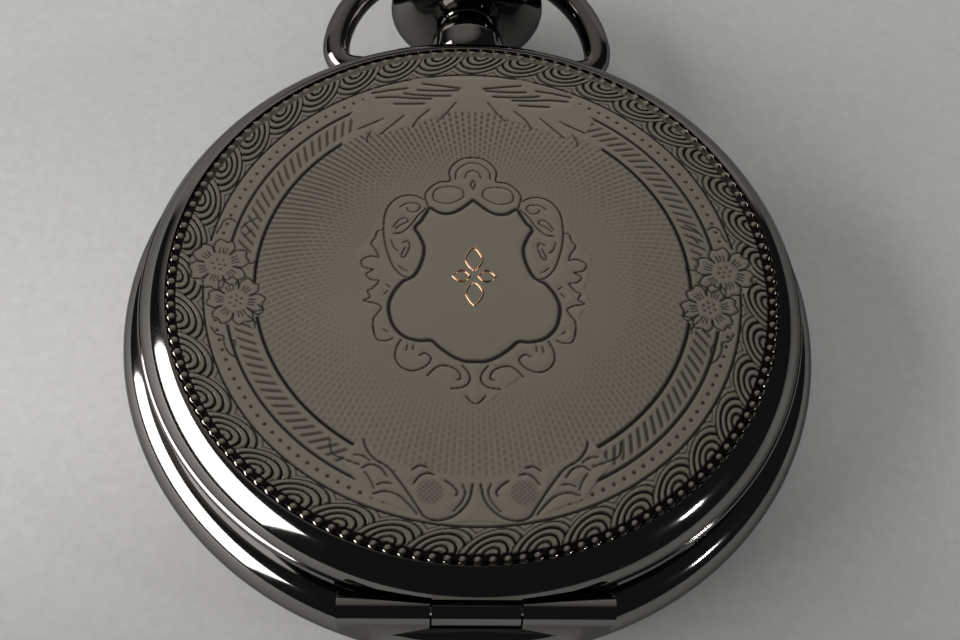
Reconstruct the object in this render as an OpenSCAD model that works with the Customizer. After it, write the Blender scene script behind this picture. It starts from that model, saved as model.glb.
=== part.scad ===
// Full-hunter pocket watch with a hinged front lid, a bow and a hand-wound movement.
// The watch lies on its back: +Z is up through the dial, +Y points to twelve o'clock.
// The origin is the middle of the back's flat face. All lengths are millimetres.

/* [Case] */
// Largest radius of the case band
case_r = 23.5; // [23:0.1:25]
// Thickness from the back's flat face to the lid's flat face
case_t = 12.4; // [12.2:0.1:13.5]
// Wall of the lid and of the back
shell_t = 0.8; // [0.7:0.05:0.9]
// Height of the lid's shoulder and flange together
lid_h = 2.4; // [2.2:0.1:2.6]
// Height of the lid's flange
flange_h = 0.7; // [0.5:0.05:0.9]
// How far the lid's flange edge lies inside the band's largest radius
flange_inset = 1.45; // [1.2:0.05:1.7]
// How far the flat face's edge lies inside the flange's edge
shoulder_w = 1.9; // [1.6:0.1:2.4]
// Height of the back's shoulder and flange together
back_h = 3.1; // [2.9:0.1:3.3]
// How far the band's bulge stands out from its wall
band_bulge = 1.55; // [1.5:0.05:1.6]
// Radius of the bulge's rounded section
bulge_r = 2; // [1.9:0.05:2.2]
// Gap between the lid, the band and the back where they meet
seam = 0.15; // [0.1:0.05:0.25]

/* [Hinge] */
// Length of the hinge along its pin
hinge_len = 16.6; // [15:0.2:18]
// Radius of the hinge's knuckles
knuckle_r = 1; // [0.9:0.05:1.1]
// Radius of the hinge pin
hinge_pin_r = 0.42; // [0.35:0.01:0.5]
// How far the pin's axis lies inside the lid's flange edge
hinge_in = 0.45; // [0.2:0.05:0.6]
// Drop of the pin's axis under the lid's flat face
hinge_drop = 3; // [2.9:0.05:3.1]
// Gap at each end of a knuckle
knuckle_gap = 0.12; // [0.08:0.01:0.2]

/* [Pendant, crown and bow] */
// Height of the stem's axis above the main plate's underside
stem_up = 0.8; // [0.7:0.05:0.85]
// Radius of the pendant's ball
ball_r = 2.85; // [2.7:0.05:3]
// Length of the straight part in the middle of the ball
ball_tall = 0.5; // [0.3:0.05:0.6]
// Distance of the ball's centre outside the band
ball_out = 1.5; // [1.4:0.05:1.7]
// Radius of the pendant's neck
neck_r = 2.05; // [2:0.05:2.2]
// Length from the ball's centre to the neck's end
neck_len = 3.4; // [3.2:0.1:3.6]
// Radius of the crown
crown_r = 6; // [5.6:0.1:6]
// Length of the crown along the stem
crown_len = 4.6; // [4.4:0.1:4.7]
// Number of flutes round the crown
crown_flutes = 36; // [24:1:40]
// How far the crown is pushed in to free the lid
crown_push = 0.6; // [0.4:0.05:0.7]
// How far the crown is pulled out to set the hands
crown_pull = 0.7; // [0.4:0.05:0.7]
// Radius of the stem in the pendant
stem_r = 0.75; // [0.65:0.05:0.85]
// Radius of the bow's wire
bow_wire_r = 1.05; // [0.95:0.05:1.1]
// Radius of the bow's ring to the middle of its wire
bow_ring_r = 10.2; // [10.2:0.1:11]
// How far the bow's ends sag below its pins
bow_sag = 2.1; // [1.9:0.1:2.2]
// Radius of the bow's wire where it meets the pendant
bow_bar_r = 0.65; // [0.6:0.05:0.7]
// How far the bow's pins lie under the ball's centre, towards the case
bow_drop = 0.8; // [0.6:0.05:0.9]
// Radius of the bow's end pins
bow_pin_r = 0.55; // [0.45:0.05:0.6]

/* [Glass, dial and hands] */
// Thickness of the glass
glass_t = 0.6; // [0.5:0.05:0.65]
// How far the glass domes up at its middle
glass_dome = 0.5; // [0.4:0.05:0.55]
// Thickness of the dial
dial_t = 0.4; // [0.3:0.05:0.45]
// Length of the minute hand
minute_len = 14.5; // [12:0.5:16]
// Length of the hour hand
hour_len = 10; // [8:0.5:11]
// Length of the seconds hand
second_len = 3.2; // [2.5:0.1:3.6]
// Thickness of each hand
hand_t = 0.15; // [0.1:0.01:0.18]

/* [Movement] */
// Radius of the movement that the sizes below are drawn for, before it is fitted to the case
calibre_r = 17.9; // [17:0.1:18.5]
// Free height between the back and the bridges
back_gap = 0.6; // [0.5:0.05:0.7]
// Thickness of the bridges
bridge_t = 1.2; // [1.1:0.05:1.3]
// Free height between the bridges and the main plate
train_h = 2.7; // [2.6:0.05:2.8]
// Thickness of the main plate
plate_t = 2.1; // [2:0.05:2.2]
// Height for the motion work between the main plate and the dial
motion_h = 0.9; // [0.85:0.05:1]
// Thickness of a train wheel
wheel_t = 0.22; // [0.16:0.02:0.24]
// Height of the mainspring barrel
barrel_h = 2.2; // [2:0.05:2.3]
// Radius of the balance wheel
balance_r = 5.2; // [4.6:0.1:5.3]
// Angle of the barrel round the centre, from three o'clock
barrel_angle = 40; // [38:1:42]
// Distance from the centre to the seconds hand's axis
second_y = 8; // [7.8:0.1:8.4]
// Module of the barrel's teeth
barrel_mod = 0.17; // [0.16:0.005:0.18]
// Module of the centre wheel's teeth
centre_mod = 0.17; // [0.165:0.005:0.18]
// Module of the third wheel's teeth
third_mod = 0.15; // [0.145:0.005:0.16]
// Module of the fourth wheel's teeth
fourth_mod = 0.13; // [0.125:0.005:0.135]
// Module of the winding wheels' teeth
wind_mod = 0.4; // [0.39:0.005:0.41]
// Module of the cannon pinion's and minute wheel's teeth
motion_mod = 0.14; // [0.13:0.005:0.145]

/* [Hidden] */
$fn = 96;

// Small overlap that joins the parts of one solid, and cuts past a face
eps = 0.02;
// Running clearance of a shaft in its hole, and of a seat round a fixed piece
run_gap = 0.05;
seat_gap = 0.02;
// Side clearance between pieces that move past each other
side_gap = 0.15;

// Heights of the case, from the back's flat face
lid_z = case_t - lid_h;
lid_in_z = case_t - shell_t;
band_z0 = back_h + seam;
band_z1 = lid_z - seam;
band_mid = (band_z0 + band_z1) / 2;

// Radii of the case, from the band's largest radius
flange_r = case_r - flange_inset;
face_r = flange_r - shoulder_w;
flange_top_r = flange_r - 0.5;
hinge_y = flange_r - hinge_in;
band_in_r = case_r - 3.1;
band_wall_r = case_r - band_bulge;
ledge_r = case_r - 5;
shelf_r = case_r - 3.9;
gutter_r = case_r - 2.15;

// Heights of the movement, stacked from the back
// Their sizes share the room between the walls of the back and the lid
second_gap = 0.25;
hour_gap = 0.2;
minute_gap = 0.15;
glass_gap = 0.3;
glass_edge = 0.05;
lid_room = 0.5;
works_h = back_gap + bridge_t + train_h + plate_t + motion_h;
face_h = dial_t + second_gap + hour_gap + minute_gap + glass_gap + 3 * hand_t;
glass_h = glass_t - glass_edge + glass_dome + lid_room;
fill = (case_t - 2 * shell_t - face_h - glass_h) / works_h;
bridge_z = shell_t + fill * back_gap;
bridge_top = bridge_z + fill * bridge_t;
ratchet_z = bridge_top + side_gap;
ratchet_t = 0.6;
centre_wheel_z = ratchet_z + ratchet_t + side_gap;
third_wheel_z = centre_wheel_z + wheel_t + side_gap;
barrel_z = third_wheel_z + wheel_t + 2 * side_gap;
plate_z = bridge_top + fill * train_h;
plate_top = plate_z + fill * plate_t;
dial_z = plate_top + fill * motion_h;
stem_z = plate_z + stem_up;
dial_top = dial_z + dial_t;
second_z = dial_top + second_gap;
hour_z = second_z + hand_t + hour_gap;
minute_z = hour_z + hand_t + minute_gap;
glass_z = minute_z + hand_t + glass_gap;

// Radii of the movement and of what holds it in the case
plate_r = ledge_r - 0.6;
rim_r = shelf_r - 0.2;
rim_z = plate_top - 0.5;
ledge_t = 0.7;
shelf_z = dial_z + 0.1;
dial_r = rim_r - 0.8;
recess_r = dial_r - 0.8;
dial_foot_r = 0.5;
dial_foot_h = 0.8;
dial_feet = [[-0.62 * dial_r, -0.45 * dial_r], [0.62 * dial_r, -0.45 * dial_r]];
glass_r = dial_r - 0.7;
bezel_in_r = glass_r - 0.5;
foot_r = shelf_r + 0.3;

// Sizes in the plan, fitted from the movement's own radius to the main plate's
plan = plate_r / calibre_r;
barrel_m = plan * barrel_mod;
centre_m = plan * centre_mod;
third_m = plan * third_mod;
fourth_m = plan * fourth_mod;
wind_m = plan * wind_mod;
motion_m = plan * motion_mod;
balance_rim_r = plan * balance_r;
second_d = plan * second_y;

// Places in the train, seen from the dial
barrel_teeth = 72;
centre_leaves = 10;
centre_teeth = 64;
third_leaves = 8;
third_teeth = 60;
fourth_leaves = 8;
fourth_teeth = 70;
escape_leaves = 7;
escape_teeth = 15;
ratchet_teeth = 30;
crown_wheel_teeth = 18;
winding_leaves = 10;
cannon_leaves = 12;
minute_teeth = 36;
minute_leaves = 10;
hour_teeth = 40;
setting_teeth = 42;
barrel_d = barrel_m * (barrel_teeth + centre_leaves) / 2;
barrel_pos = barrel_d * [cos(barrel_angle), sin(barrel_angle)];
fourth_pos = [0, -second_d];
third_d = centre_m * (centre_teeth + third_leaves) / 2;
fourth_d = third_m * (third_teeth + fourth_leaves) / 2;
third_down = (second_d * second_d + third_d * third_d - fourth_d * fourth_d) / (2 * second_d);
third_pos = [sqrt(third_d * third_d - third_down * third_down), -third_down];
escape_d = fourth_m * (fourth_teeth + escape_leaves) / 2;
escape_pos = fourth_pos + escape_d * [-1, 0];
// The escapement's line runs from the escape wheel up and left to the balance
lever_angle = 150;
lever_dir = [cos(lever_angle), sin(lever_angle)];
escape_r = 2.3 * plan;
pallet_pos = escape_pos + 1.2 * escape_r * lever_dir;
balance_pos = escape_pos + (1.5 * plan + balance_rim_r) * lever_dir;
// The crown wheel lies on the stem's line, and meshes with the ratchet wheel
wind_d = wind_m * (ratchet_teeth + crown_wheel_teeth) / 2;
crown_wheel_y = barrel_pos[1] + sqrt(wind_d * wind_d - barrel_pos[0] * barrel_pos[0]);
crown_wheel_r = wind_m * crown_wheel_teeth / 2;
winding_r = wind_m * winding_leaves / 2;
winding_y = crown_wheel_y + crown_wheel_r - 0.3;
winding_len = 1.4;
mesh_depth = 0.15;
crown_wheel_top = min(stem_z - winding_r + mesh_depth, barrel_z - run_gap);
crown_post_r = 0.9;
crown_head_r = 1.3;
crown_sink = 0.3;
clutch_r = 1.35;
clutch_len = 1.8;
clutch_y = winding_y - clutch_len - crown_push - 0.25;
stem_tail = 0.6;
stem_thin_r = stem_r - 0.2;
slot_w = winding_r + 0.25;
slot_y0 = clutch_y - crown_pull - 0.1;
slot_y1 = winding_y + winding_len + 0.2;
// The motion work, with its two pairs at one centre distance
minute_d = motion_m * (cannon_leaves + minute_teeth) / 2;
hour_mod = 2 * minute_d / (minute_leaves + hour_teeth);
minute_pos = [0, minute_d];
setting_d = motion_m * (minute_teeth + setting_teeth) / 2;
setting_pos = minute_pos + [0, setting_d];
post_r = 0.3;
post_h = 0.5;
cannon_tube_r = 0.6;
hour_tube_r = 0.95;
centre_post_r = 0.35;

// Level of the gears on the escapement's side
fourth_wheel_z = ratchet_z;
balance_z = bridge_top + 0.6;
balance_t = 0.5;
pallet_bridge_z = balance_z + balance_t + 0.2;
pallet_bridge_t = 0.5;
fork_z = pallet_bridge_z + pallet_bridge_t + side_gap;
fork_t = 0.3;
hairspring_z = bridge_top + 0.15;
hairspring_t = 0.2;

// Arbors, pivots and jewels
arbor_r = 0.3;
pivot_r = 0.2;
jewel_r = 0.7;
jewel_t = 0.5;
centre_arbor_r = 0.5;
centre_foot_r = 0.4;
barrel_arbor_r = 0.9;
barrel_end_r = 0.5;
ratchet_screw_r = 0.3;
staff_r = 0.35;
roller_r = 1.15;

// Feet and screws of the bridges, as places in the plan
barrel_feet = plan * [[12.3, 11], [-7.6, 12.6], [16, 3.6]];
train_feet = plan * [[12.4, -9.6], [3, -15.2], [15.8, -1.6], [-3.2, -14.8]];
cock_foot = plan * [-14.6, 5.2];
pallet_foot = plan * [-9.6, -13.2];
foot_pillar_r = 1.25;
screw_r = 0.45;
screw_head_r = 0.9;
screw_head_t = 0.4;
screw_depth = 1;

// Places of the case's screws and inner springs, as angles round the case
case_screw_angle = 20;
catch_angle = 150;
lift_angle = 215;
spring_t = 0.45;
spring_h = 0.9;
spring_screw_r = 0.35;
spring_r = gutter_r - 0.45 - spring_t / 2;
spring_z = shelf_z + 0.1;

// The pendant, crown and bow along the stem's line
ball_y = case_r + ball_out;
neck_y = ball_y + neck_len;
crown_y = neck_y - 0.4;
crown_top = crown_y + crown_len;
crown_rim = crown_len / 2;
crown_recess_r = neck_r + 0.25;
crown_recess = 0.4 + crown_push + 0.2;
sleeve_r = neck_r - 0.6;
bow_y = ball_y - bow_drop;
bow_end = ball_r + 0.15;
bow_turn = 3.4;
bow_bend = [
    [bow_end, -bow_drop], [bow_end + 4.2, -bow_drop], [bow_ring_r, -bow_drop - bow_sag],
    [bow_ring_r * cos(bow_turn), bow_ring_r * sin(bow_turn)]
];
bow_sides = 16;
collar_r = 1.35;
collar_len = 0.8;
leg_gap = 0.1;
leg_y = case_r - 2.95;
leg_t = 0.5;
leg_w = 3.2;
fork_gap = 0.35;
collar_y = leg_y + leg_t / 2 + crown_push + leg_gap;

steel = "slategray";
dark_steel = "dimgray";
gold = "goldenrod";

// Turning phase that lets a gear mesh with its driver, beta being the line from driver to gear
function mesh_phase(beta, driver_phase, driver_teeth, teeth) =
    beta + 180 - 360 / teeth * (0.5 - (beta - driver_phase) * driver_teeth / 360);

function angle_to(from, to) = atan2(to[1] - from[1], to[0] - from[0]);

// Points of an arc in a plane, from one angle to another
function arc(centre, r, a0, a1, steps) =
    [for (i = [0 : steps])
        let (a = a0 + (a1 - a0) * i / steps)
        centre + r * [cos(a), sin(a)]];

// Outline of a toothed wheel, with four points to a tooth
function tooth_points(teeth, mod_size, add, ded, root_w, tip_w) =
    let (pitch = 360 / teeth, root = mod_size * (teeth / 2 - ded), tip = mod_size * (teeth / 2 + add))
    [for (i = [0 : teeth - 1], p = [[root, -root_w], [tip, -tip_w], [tip, tip_w], [root, root_w]])
        p[0] * [cos(pitch * (i + p[1] / 2)), sin(pitch * (i + p[1] / 2))]];

module wheel_shape(teeth, mod_size) {
    polygon(tooth_points(teeth, mod_size, 0.7, 1.1, 0.5, 0.16));
}

module pinion_shape(leaves, mod_size) {
    polygon(tooth_points(leaves, mod_size, 0.45, 1.1, 0.32, 0.2));
}

// Train wheel with crossed-out spokes
module spoked_wheel(teeth, mod_size, thick, hub_r, phase) {
    rim = mod_size * (teeth / 2 - 1.1) - 0.55;
    difference() {
        linear_extrude(thick)
            rotate(phase)
                wheel_shape(teeth, mod_size);
        for (a = [0 : 90 : 270])
            rotate(a + 45)
                translate([0, 0, -eps])
                    linear_extrude(thick + 2 * eps)
                        polygon(concat(
                            [[hub_r + 0.7, 0]],
                            arc([0, 0], rim, -36, 36, 6)));
    }
}

module pinion(leaves, mod_size, thick, phase) {
    linear_extrude(thick)
        rotate(phase)
            pinion_shape(leaves, mod_size);
}

// Plain shaft between two heights
module shaft(r, z0, z1) {
    translate([0, 0, z0])
        cylinder(r = r, h = z1 - z0);
}

// Shaft with a pivot at each end that runs in a jewel of the bridge and one of the plate
module arbor(r) {
    shaft(r, bridge_top + 0.05, plate_z - 0.05);
    shaft(pivot_r, bridge_top - jewel_t + 0.1, plate_z + jewel_t - 0.1);
}

module at(p) {
    translate([p[0], p[1], 0])
        children();
}

// Slotted screw whose head lies flush in the outer face of a bridge
module sunk_screw(z, len) {
    difference() {
        union() {
            shaft(screw_head_r, z, z + screw_head_t);
            shaft(screw_r, z, z + len);
        }
        translate([-screw_head_r, -0.1, z - eps])
            cube([2 * screw_head_r, 0.2, 0.15]);
    }
}

// Hole for such a screw
module sunk_hole(z, len) {
    shaft(screw_head_r + seat_gap, z - eps, z + screw_head_t);
    shaft(screw_r + seat_gap, z, z + len + seat_gap);
}

module ring(r_in, r_out, z0, z1) {
    translate([0, 0, z0])
        difference() {
            cylinder(r = r_out, h = z1 - z0);
            translate([0, 0, -eps])
                cylinder(r = r_in, h = z1 - z0 + 2 * eps);
        }
}

// Turns its children so that +Z becomes the stem's outward direction
module on_stem() {
    translate([0, 0, stem_z])
        rotate([-90, 0, 0])
            children();
}

module stem_shaft(r, y0, y1) {
    on_stem()
        shaft(r, y0, y1);
}

// Turns its children so that +Z runs along the hinge pin
module on_hinge() {
    translate([0, -hinge_y, case_t - hinge_drop])
        rotate([0, 90, 0])
            children();
}

module hinge_rod(r, x0, x1) {
    on_hinge()
        shaft(r, x0, x1);
}

knuckle_len = hinge_len / 3;

// Band of the case: a bulged ring with a ledge for the movement and a gutter for the springs
module case_band() {
    swell = acos(1 - band_bulge / bulge_r);
    outer = concat(
        [[band_wall_r, band_z0]],
        arc([case_r - bulge_r, band_mid], bulge_r, -swell, swell, 16),
        [[band_wall_r, band_z1]]);
    inner = [
        [gutter_r, band_z1], [gutter_r, shelf_z], [shelf_r, shelf_z], [shelf_r, rim_z],
        [ledge_r, rim_z], [ledge_r, rim_z - ledge_t], [band_in_r, rim_z - ledge_t], [band_in_r, band_z0]
    ];
    color(dark_steel)
        difference() {
            union() {
                rotate_extrude()
                    polygon(concat(outer, inner));
                intersection() {
                    for (side = [-1, 1])
                        hinge_rod(knuckle_r, min(side * knuckle_len / 2, side * hinge_len / 2),
                            max(side * knuckle_len / 2, side * hinge_len / 2));
                    shaft(case_r, band_z0, case_t);
                }
                // Block under the knuckles, flush with their fronts and rooted in the wall
                difference() {
                    intersection() {
                        translate([-hinge_len / 2, -hinge_y - knuckle_r, band_mid])
                            cube([hinge_len, hinge_y, case_t - hinge_drop - band_mid]);
                        shaft(case_r, band_z0, case_t);
                    }
                    shaft(band_wall_r - 0.2, band_z0, case_t);
                }
            }
            // Room for the lid's knuckle and its tab, the pin's bore, and the pendant's and catch's holes
            hinge_rod(knuckle_r + side_gap, -knuckle_len / 2, knuckle_len / 2);
            translate([-knuckle_len / 2, -case_r - 1, case_t - hinge_drop])
                cube([knuckle_len, case_r + 1 - hinge_y + knuckle_r + side_gap, hinge_drop]);
            hinge_rod(hinge_pin_r + seat_gap, -hinge_len / 2 - eps, hinge_len / 2 + eps);
            stem_shaft(collar_r + 2 * run_gap, ledge_r - 1, case_r);
            translate([-leg_w / 2 - 0.5, leg_y - 1.25, stem_z - collar_r])
                cube([leg_w + 1, 2.5, case_t]);
            case_screw_places()
                shaft(screw_r + seat_gap, rim_z - ledge_t - 1, rim_z + 1);
            spring_places()
                shaft(spring_screw_r + seat_gap, shelf_z - 0.7, shelf_z + eps);
            // The pendant's ball is seated in the band
            translate([0, ball_y, stem_z])
                sphere(r = ball_r + seat_gap);
        }
}

// Snap-on back with a flat rest face
module back_cover() {
    rest_r = face_r - 0.4;
    lip_r = band_in_r - run_gap;
    color(dark_steel)
        rotate_extrude()
            polygon(concat(
                [[0, 0], [rest_r, 0]],
                [for (i = [1 : 8]) [rest_r + (flange_top_r - rest_r) * sin(i * 11.25),
                    (back_h - flange_h) * (1 - cos(i * 11.25))]],
                [[flange_r, back_h - flange_h * 0.6], [flange_r, back_h], [lip_r, back_h],
                    [lip_r, back_h + 1.3], [lip_r - 0.5, back_h + 1.3], [lip_r - 0.5, shell_t + 1.1],
                    [lip_r - 1.6, shell_t], [0, shell_t]]));
}

// Hinged lid: a flat face, a rounded shoulder and a stepped flange
module front_cover() {
    rise = lid_h - flange_h;
    wall_r = flange_r - 1.1;
    color(dark_steel)
        difference() {
            union() {
                difference() {
                    rotate_extrude()
                        polygon(concat(
                            [[0, lid_in_z], [wall_r - 1, lid_in_z], [wall_r, lid_in_z - 0.8],
                                [wall_r, lid_z], [flange_r, lid_z], [flange_r, lid_z + 0.2]],
                            [for (i = [0 : 8]) [face_r + (flange_top_r - face_r) * cos(i * 11.25),
                                lid_z + flange_h + rise * sin(i * 11.25)]],
                            [[0, case_t]]));
                    // The flange is cut away over the hinge
                    translate([-hinge_len / 2 - side_gap, -case_r, lid_z - eps])
                        cube([hinge_len + 2 * side_gap, case_r - hinge_y + knuckle_r + 0.3,
                            case_t - hinge_drop + knuckle_r + side_gap - lid_z + eps]);
                }
                difference() {
                    union() {
                        hinge_rod(knuckle_r, -knuckle_len / 2 + knuckle_gap, knuckle_len / 2 - knuckle_gap);
                        translate([-knuckle_len / 2 + knuckle_gap, -hinge_y - 0.1, case_t - hinge_drop])
                            cube([knuckle_len - 2 * knuckle_gap, 1, hinge_drop - shell_t]);
                    }
                    shaft(wall_r - 0.1, lid_z - 2, lid_in_z - 0.9);
                }
            }
            hinge_rod(hinge_pin_r + run_gap, -hinge_len, hinge_len);
        }
}

module hinge_pin() {
    color(steel)
        hinge_rod(hinge_pin_r, -hinge_len / 2, hinge_len / 2);
}

// Places its children at the fixed ends of the lid's two springs
module spring_places() {
    for (a = [catch_angle, lift_angle])
        rotate(a)
            at([spring_r, 0])
                children();
}

// Curved strip spring from its screw to its free end, with an eye at the screw
module strip_spring(a_fixed, a_free) {
    lo = min(a_fixed, a_free);
    hi = max(a_fixed, a_free);
    rotate([0, 0, lo])
        translate([0, 0, spring_z])
            rotate_extrude(angle = hi - lo)
                translate([spring_r - spring_t / 2, 0])
                    square([spring_t, spring_h]);
    rotate(a_fixed)
        at([spring_r, 0])
            shaft(0.65, spring_z, spring_z + spring_h);
}

// Catch that holds the lid: a strip with a nose under the lid's rim and a leg over the stem's collar
module lid_catch() {
    color(steel)
        difference() {
            union() {
                strip_spring(catch_angle, 90);
                translate([-leg_w / 2, leg_y - leg_t / 2, stem_z - 0.9])
                    cube([leg_w, leg_t, lid_z + 0.5 - stem_z + 0.9]);
            }
            stem_shaft(stem_r + fork_gap, leg_y - 1, leg_y + 1);
            translate([-stem_r - fork_gap, leg_y - 1, stem_z - 2])
                cube([2 * (stem_r + fork_gap), 2, 2]);
            rotate(catch_angle)
                at([spring_r, 0])
                    shaft(spring_screw_r + run_gap, 0, case_t);
        }
}

// Spring that lifts the lid when the catch lets go
module lift_spring() {
    color(steel)
        difference() {
            strip_spring(lift_angle, 250);
            rotate(lift_angle)
                at([spring_r, 0])
                    shaft(spring_screw_r + run_gap, 0, case_t);
        }
}

module spring_screws() {
    top = spring_z + spring_h + 0.05;
    color(steel)
        spring_places()
            difference() {
                union() {
                    shaft(spring_screw_r, shelf_z - 0.6, top);
                    shaft(0.6, top, top + 0.3);
                }
                translate([-1, -0.08, top + 0.15])
                    cube([2, 0.16, 1]);
            }
}

// Pendant: a ball and neck on the band, bored for the sleeve and for the bow's pins
module pendant() {
    bore_r = sleeve_r + seat_gap;
    color(dark_steel)
        difference() {
            translate([0, ball_y, stem_z])
                rotate([-90, 0, 0])
                    rotate_extrude()
                        polygon(concat(
                            arc([0, 0], ball_r, -acos(bore_r / ball_r), 0, 9),
                            arc([0, ball_tall], ball_r, 0, acos(neck_r / ball_r), 7),
                            [[neck_r, neck_len], [bore_r, neck_len]]));
            translate([-ball_r - 1, bow_y, stem_z])
                rotate([0, 90, 0])
                    shaft(bow_pin_r + run_gap, 0, 2 * ball_r + 2);
        }
}

module pendant_sleeve() {
    color(steel)
        difference() {
            stem_shaft(sleeve_r, bow_y + bow_pin_r + 0.25, neck_y + 0.2);
            stem_shaft(stem_r + run_gap, 0, crown_top);
        }
}

// Stations along the bow's wire, each a place, a heading and a radius: on its ring, and on a sagging end
function bow_station(a) = [bow_ring_r * cos(a), bow_ring_r * sin(a), a + 90, bow_wire_r];
function bow_end_station(t) =
    let (u = 1 - t, b = bow_bend)
    let (at = u * u * u * b[0] + 3 * u * u * t * b[1] + 3 * u * t * t * b[2] + t * t * t * b[3])
    let (way = u * u * (b[1] - b[0]) + 2 * u * t * (b[2] - b[1]) + t * t * (b[3] - b[2]))
    [at[0], at[1], atan2(way[1], way[0]), bow_bar_r + (bow_wire_r - bow_bar_r) * t];

// Ring of points round the wire at one station
function bow_section(p) =
    [for (k = [0 : bow_sides - 1]) let (f = 360 * k / bow_sides)
        let (out = p[3] * cos(f))
        [p[0] + out * sin(p[2]), p[1] - out * cos(p[2]), p[3] * sin(f)]];

// Bow: a ring of wire whose ends turn in to the pendant, and swing on two pins
module bow() {
    route = concat(
        [for (i = [0 : 8]) bow_end_station(i / 8)],
        [for (i = [1 : 35]) bow_station(bow_turn + (180 - 2 * bow_turn) * i / 36)],
        [for (i = [8 : -1 : 0]) let (p = bow_end_station(i / 8)) [-p[0], p[1], 360 - p[2], p[3]]]);
    last = bow_sides * (len(route) - 1);
    side_faces = [for (i = [0 : len(route) - 2], k = [0 : bow_sides - 1])
        let (a = i * bow_sides + k, b = i * bow_sides + (k + 1) % bow_sides)
        each [[a, b, b + bow_sides], [a, b + bow_sides, a + bow_sides]]];
    color(dark_steel)
        translate([0, ball_y, stem_z]) {
            polyhedron(
                points = [for (p = route) each bow_section(p)],
                faces = concat(
                    side_faces,
                    [[for (k = [bow_sides - 1 : -1 : 0]) k]],
                    [[for (k = [0 : bow_sides - 1]) last + k]]));
            for (side = [0, 1])
                mirror([side, 0, 0])
                    translate([0, -bow_drop, 0])
                        rotate([0, 90, 0])
                            shaft(bow_pin_r, sleeve_r + 0.25, bow_end + bow_pin_r);
        }
}

// Crown: an onion shape with a fluted rim, hollow under it so that it can be pushed in
module crown() {
    foot = crown_recess_r + 0.6;
    bowl = [for (i = [0 : 6])
        [foot + (crown_r - foot) * sin(i * 15), (crown_rim - 0.5) * (1 - cos(i * 15))]];
    cap = [for (i = [0 : 6])
        [crown_r * cos(i * 15), crown_rim + (crown_len - crown_rim) * sin(i * 15)]];
    color(dark_steel)
        difference() {
            translate([0, crown_y, stem_z])
                rotate([-90, 0, 0])
                    rotate_extrude()
                        polygon(concat([[0, 0]], bowl, cap));
            stem_shaft(crown_recess_r, crown_y - 1, crown_y + crown_recess);
            stem_shaft(stem_r + seat_gap, crown_y, crown_y + crown_rim);
            for (i = [1 : crown_flutes])
                translate([0, crown_y + crown_rim - 0.2, stem_z])
                    rotate([-90, i * 360 / crown_flutes, 0])
                        at([crown_r + 0.12, 0])
                            shaft(0.28, 0, 1.6);
        }
}

module winding_stem() {
    step_y = winding_y + winding_len + crown_push + side_gap;
    color(steel) {
        stem_shaft(stem_r, step_y - eps, crown_y + crown_rim);
        stem_shaft(stem_thin_r, slot_y0 - stem_tail, step_y);
        stem_shaft(collar_r, collar_y, collar_y + collar_len);
    }
}

// Bezel with a groove for the glass
module bezel() {
    groove_z = glass_z + 0.02;
    top = groove_z + glass_t + 0.3;
    color(steel)
        rotate_extrude()
            polygon([
                [bezel_in_r, dial_top + 0.05], [dial_r + 0.1, dial_top + 0.05], [dial_r + 0.1, shelf_z],
                [foot_r, shelf_z], [foot_r, shelf_z + 0.4], [dial_r + 0.65, shelf_z + 0.8],
                [dial_r + 0.2, top], [bezel_in_r + 0.2, top], [bezel_in_r + 0.2, groove_z + glass_t],
                [glass_r + seat_gap, groove_z + glass_t], [glass_r + seat_gap, groove_z - 0.04],
                [bezel_in_r, groove_z - 0.04]]);
}

// Domed glass, thicker at its middle only by its curve
module crystal() {
    edge = glass_z;
    color("lightcyan")
        rotate_extrude()
            polygon(concat(
                [for (i = [0 : 8]) let (u = i / 8) [glass_r * u, edge + glass_dome * (1 - u * u)]],
                [for (i = [0 : 8]) let (u = 1 - i / 8) [glass_r * u,
                    edge + glass_t - glass_edge + glass_dome * (1 - u * u)]]));
}

// Dial with hour marks, a minute track and a sunk seconds circle
module dial() {
    mark_t = 0.08;
    color("whitesmoke")
        difference() {
            union() {
                shaft(dial_r, dial_z, dial_top);
                for (h = [1 : 12])
                    rotate(90 - 30 * h)
                        translate([dial_r - 4.2, -0.25, dial_top - eps])
                            cube([h % 3 == 0 ? 2.2 : 1.6, 0.5, mark_t + eps]);
                for (p = dial_feet)
                    at(p)
                        shaft(dial_foot_r, plate_top - dial_foot_h, dial_z + eps);
            }
            shaft(hour_tube_r + 4 * run_gap, 0, case_t);
            at(fourth_pos) {
                shaft(0.5, 0, case_t);
                shaft(second_len + 0.4, dial_top - 0.12, case_t);
            }
        }
}

// Tapered hand on its eye, pointing to twelve
module hand(len, eye_r, bore, w) {
    difference() {
        union() {
            cylinder(r = eye_r, h = hand_t);
            linear_extrude(hand_t)
                polygon([
                    [-w * 0.35, -len * 0.22], [-w / 2, 0], [-w * 0.7, len * 0.55], [0, len],
                    [w * 0.7, len * 0.55], [w / 2, 0], [w * 0.35, -len * 0.22]]);
        }
        translate([0, 0, -eps])
            cylinder(r = bore, h = hand_t + 2 * eps);
    }
}

module hour_hand() {
    color("navy")
        translate([0, 0, hour_z])
            hand(hour_len, 1.5, hour_tube_r + seat_gap, 0.9);
}

module minute_hand() {
    color("navy")
        translate([0, 0, minute_z])
            hand(minute_len, 1.1, cannon_tube_r + seat_gap, 0.8);
}

module second_hand() {
    color("navy")
        at(fourth_pos)
            translate([0, 0, second_z])
                hand(second_len, 0.55, pivot_r + seat_gap, 0.35);
}

// Places its children at the two screws that hold the movement in the band
module case_screw_places() {
    for (a = [case_screw_angle, case_screw_angle + 180])
        rotate(a)
            at([ledge_r + 0.55, 0])
                children();
}

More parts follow.
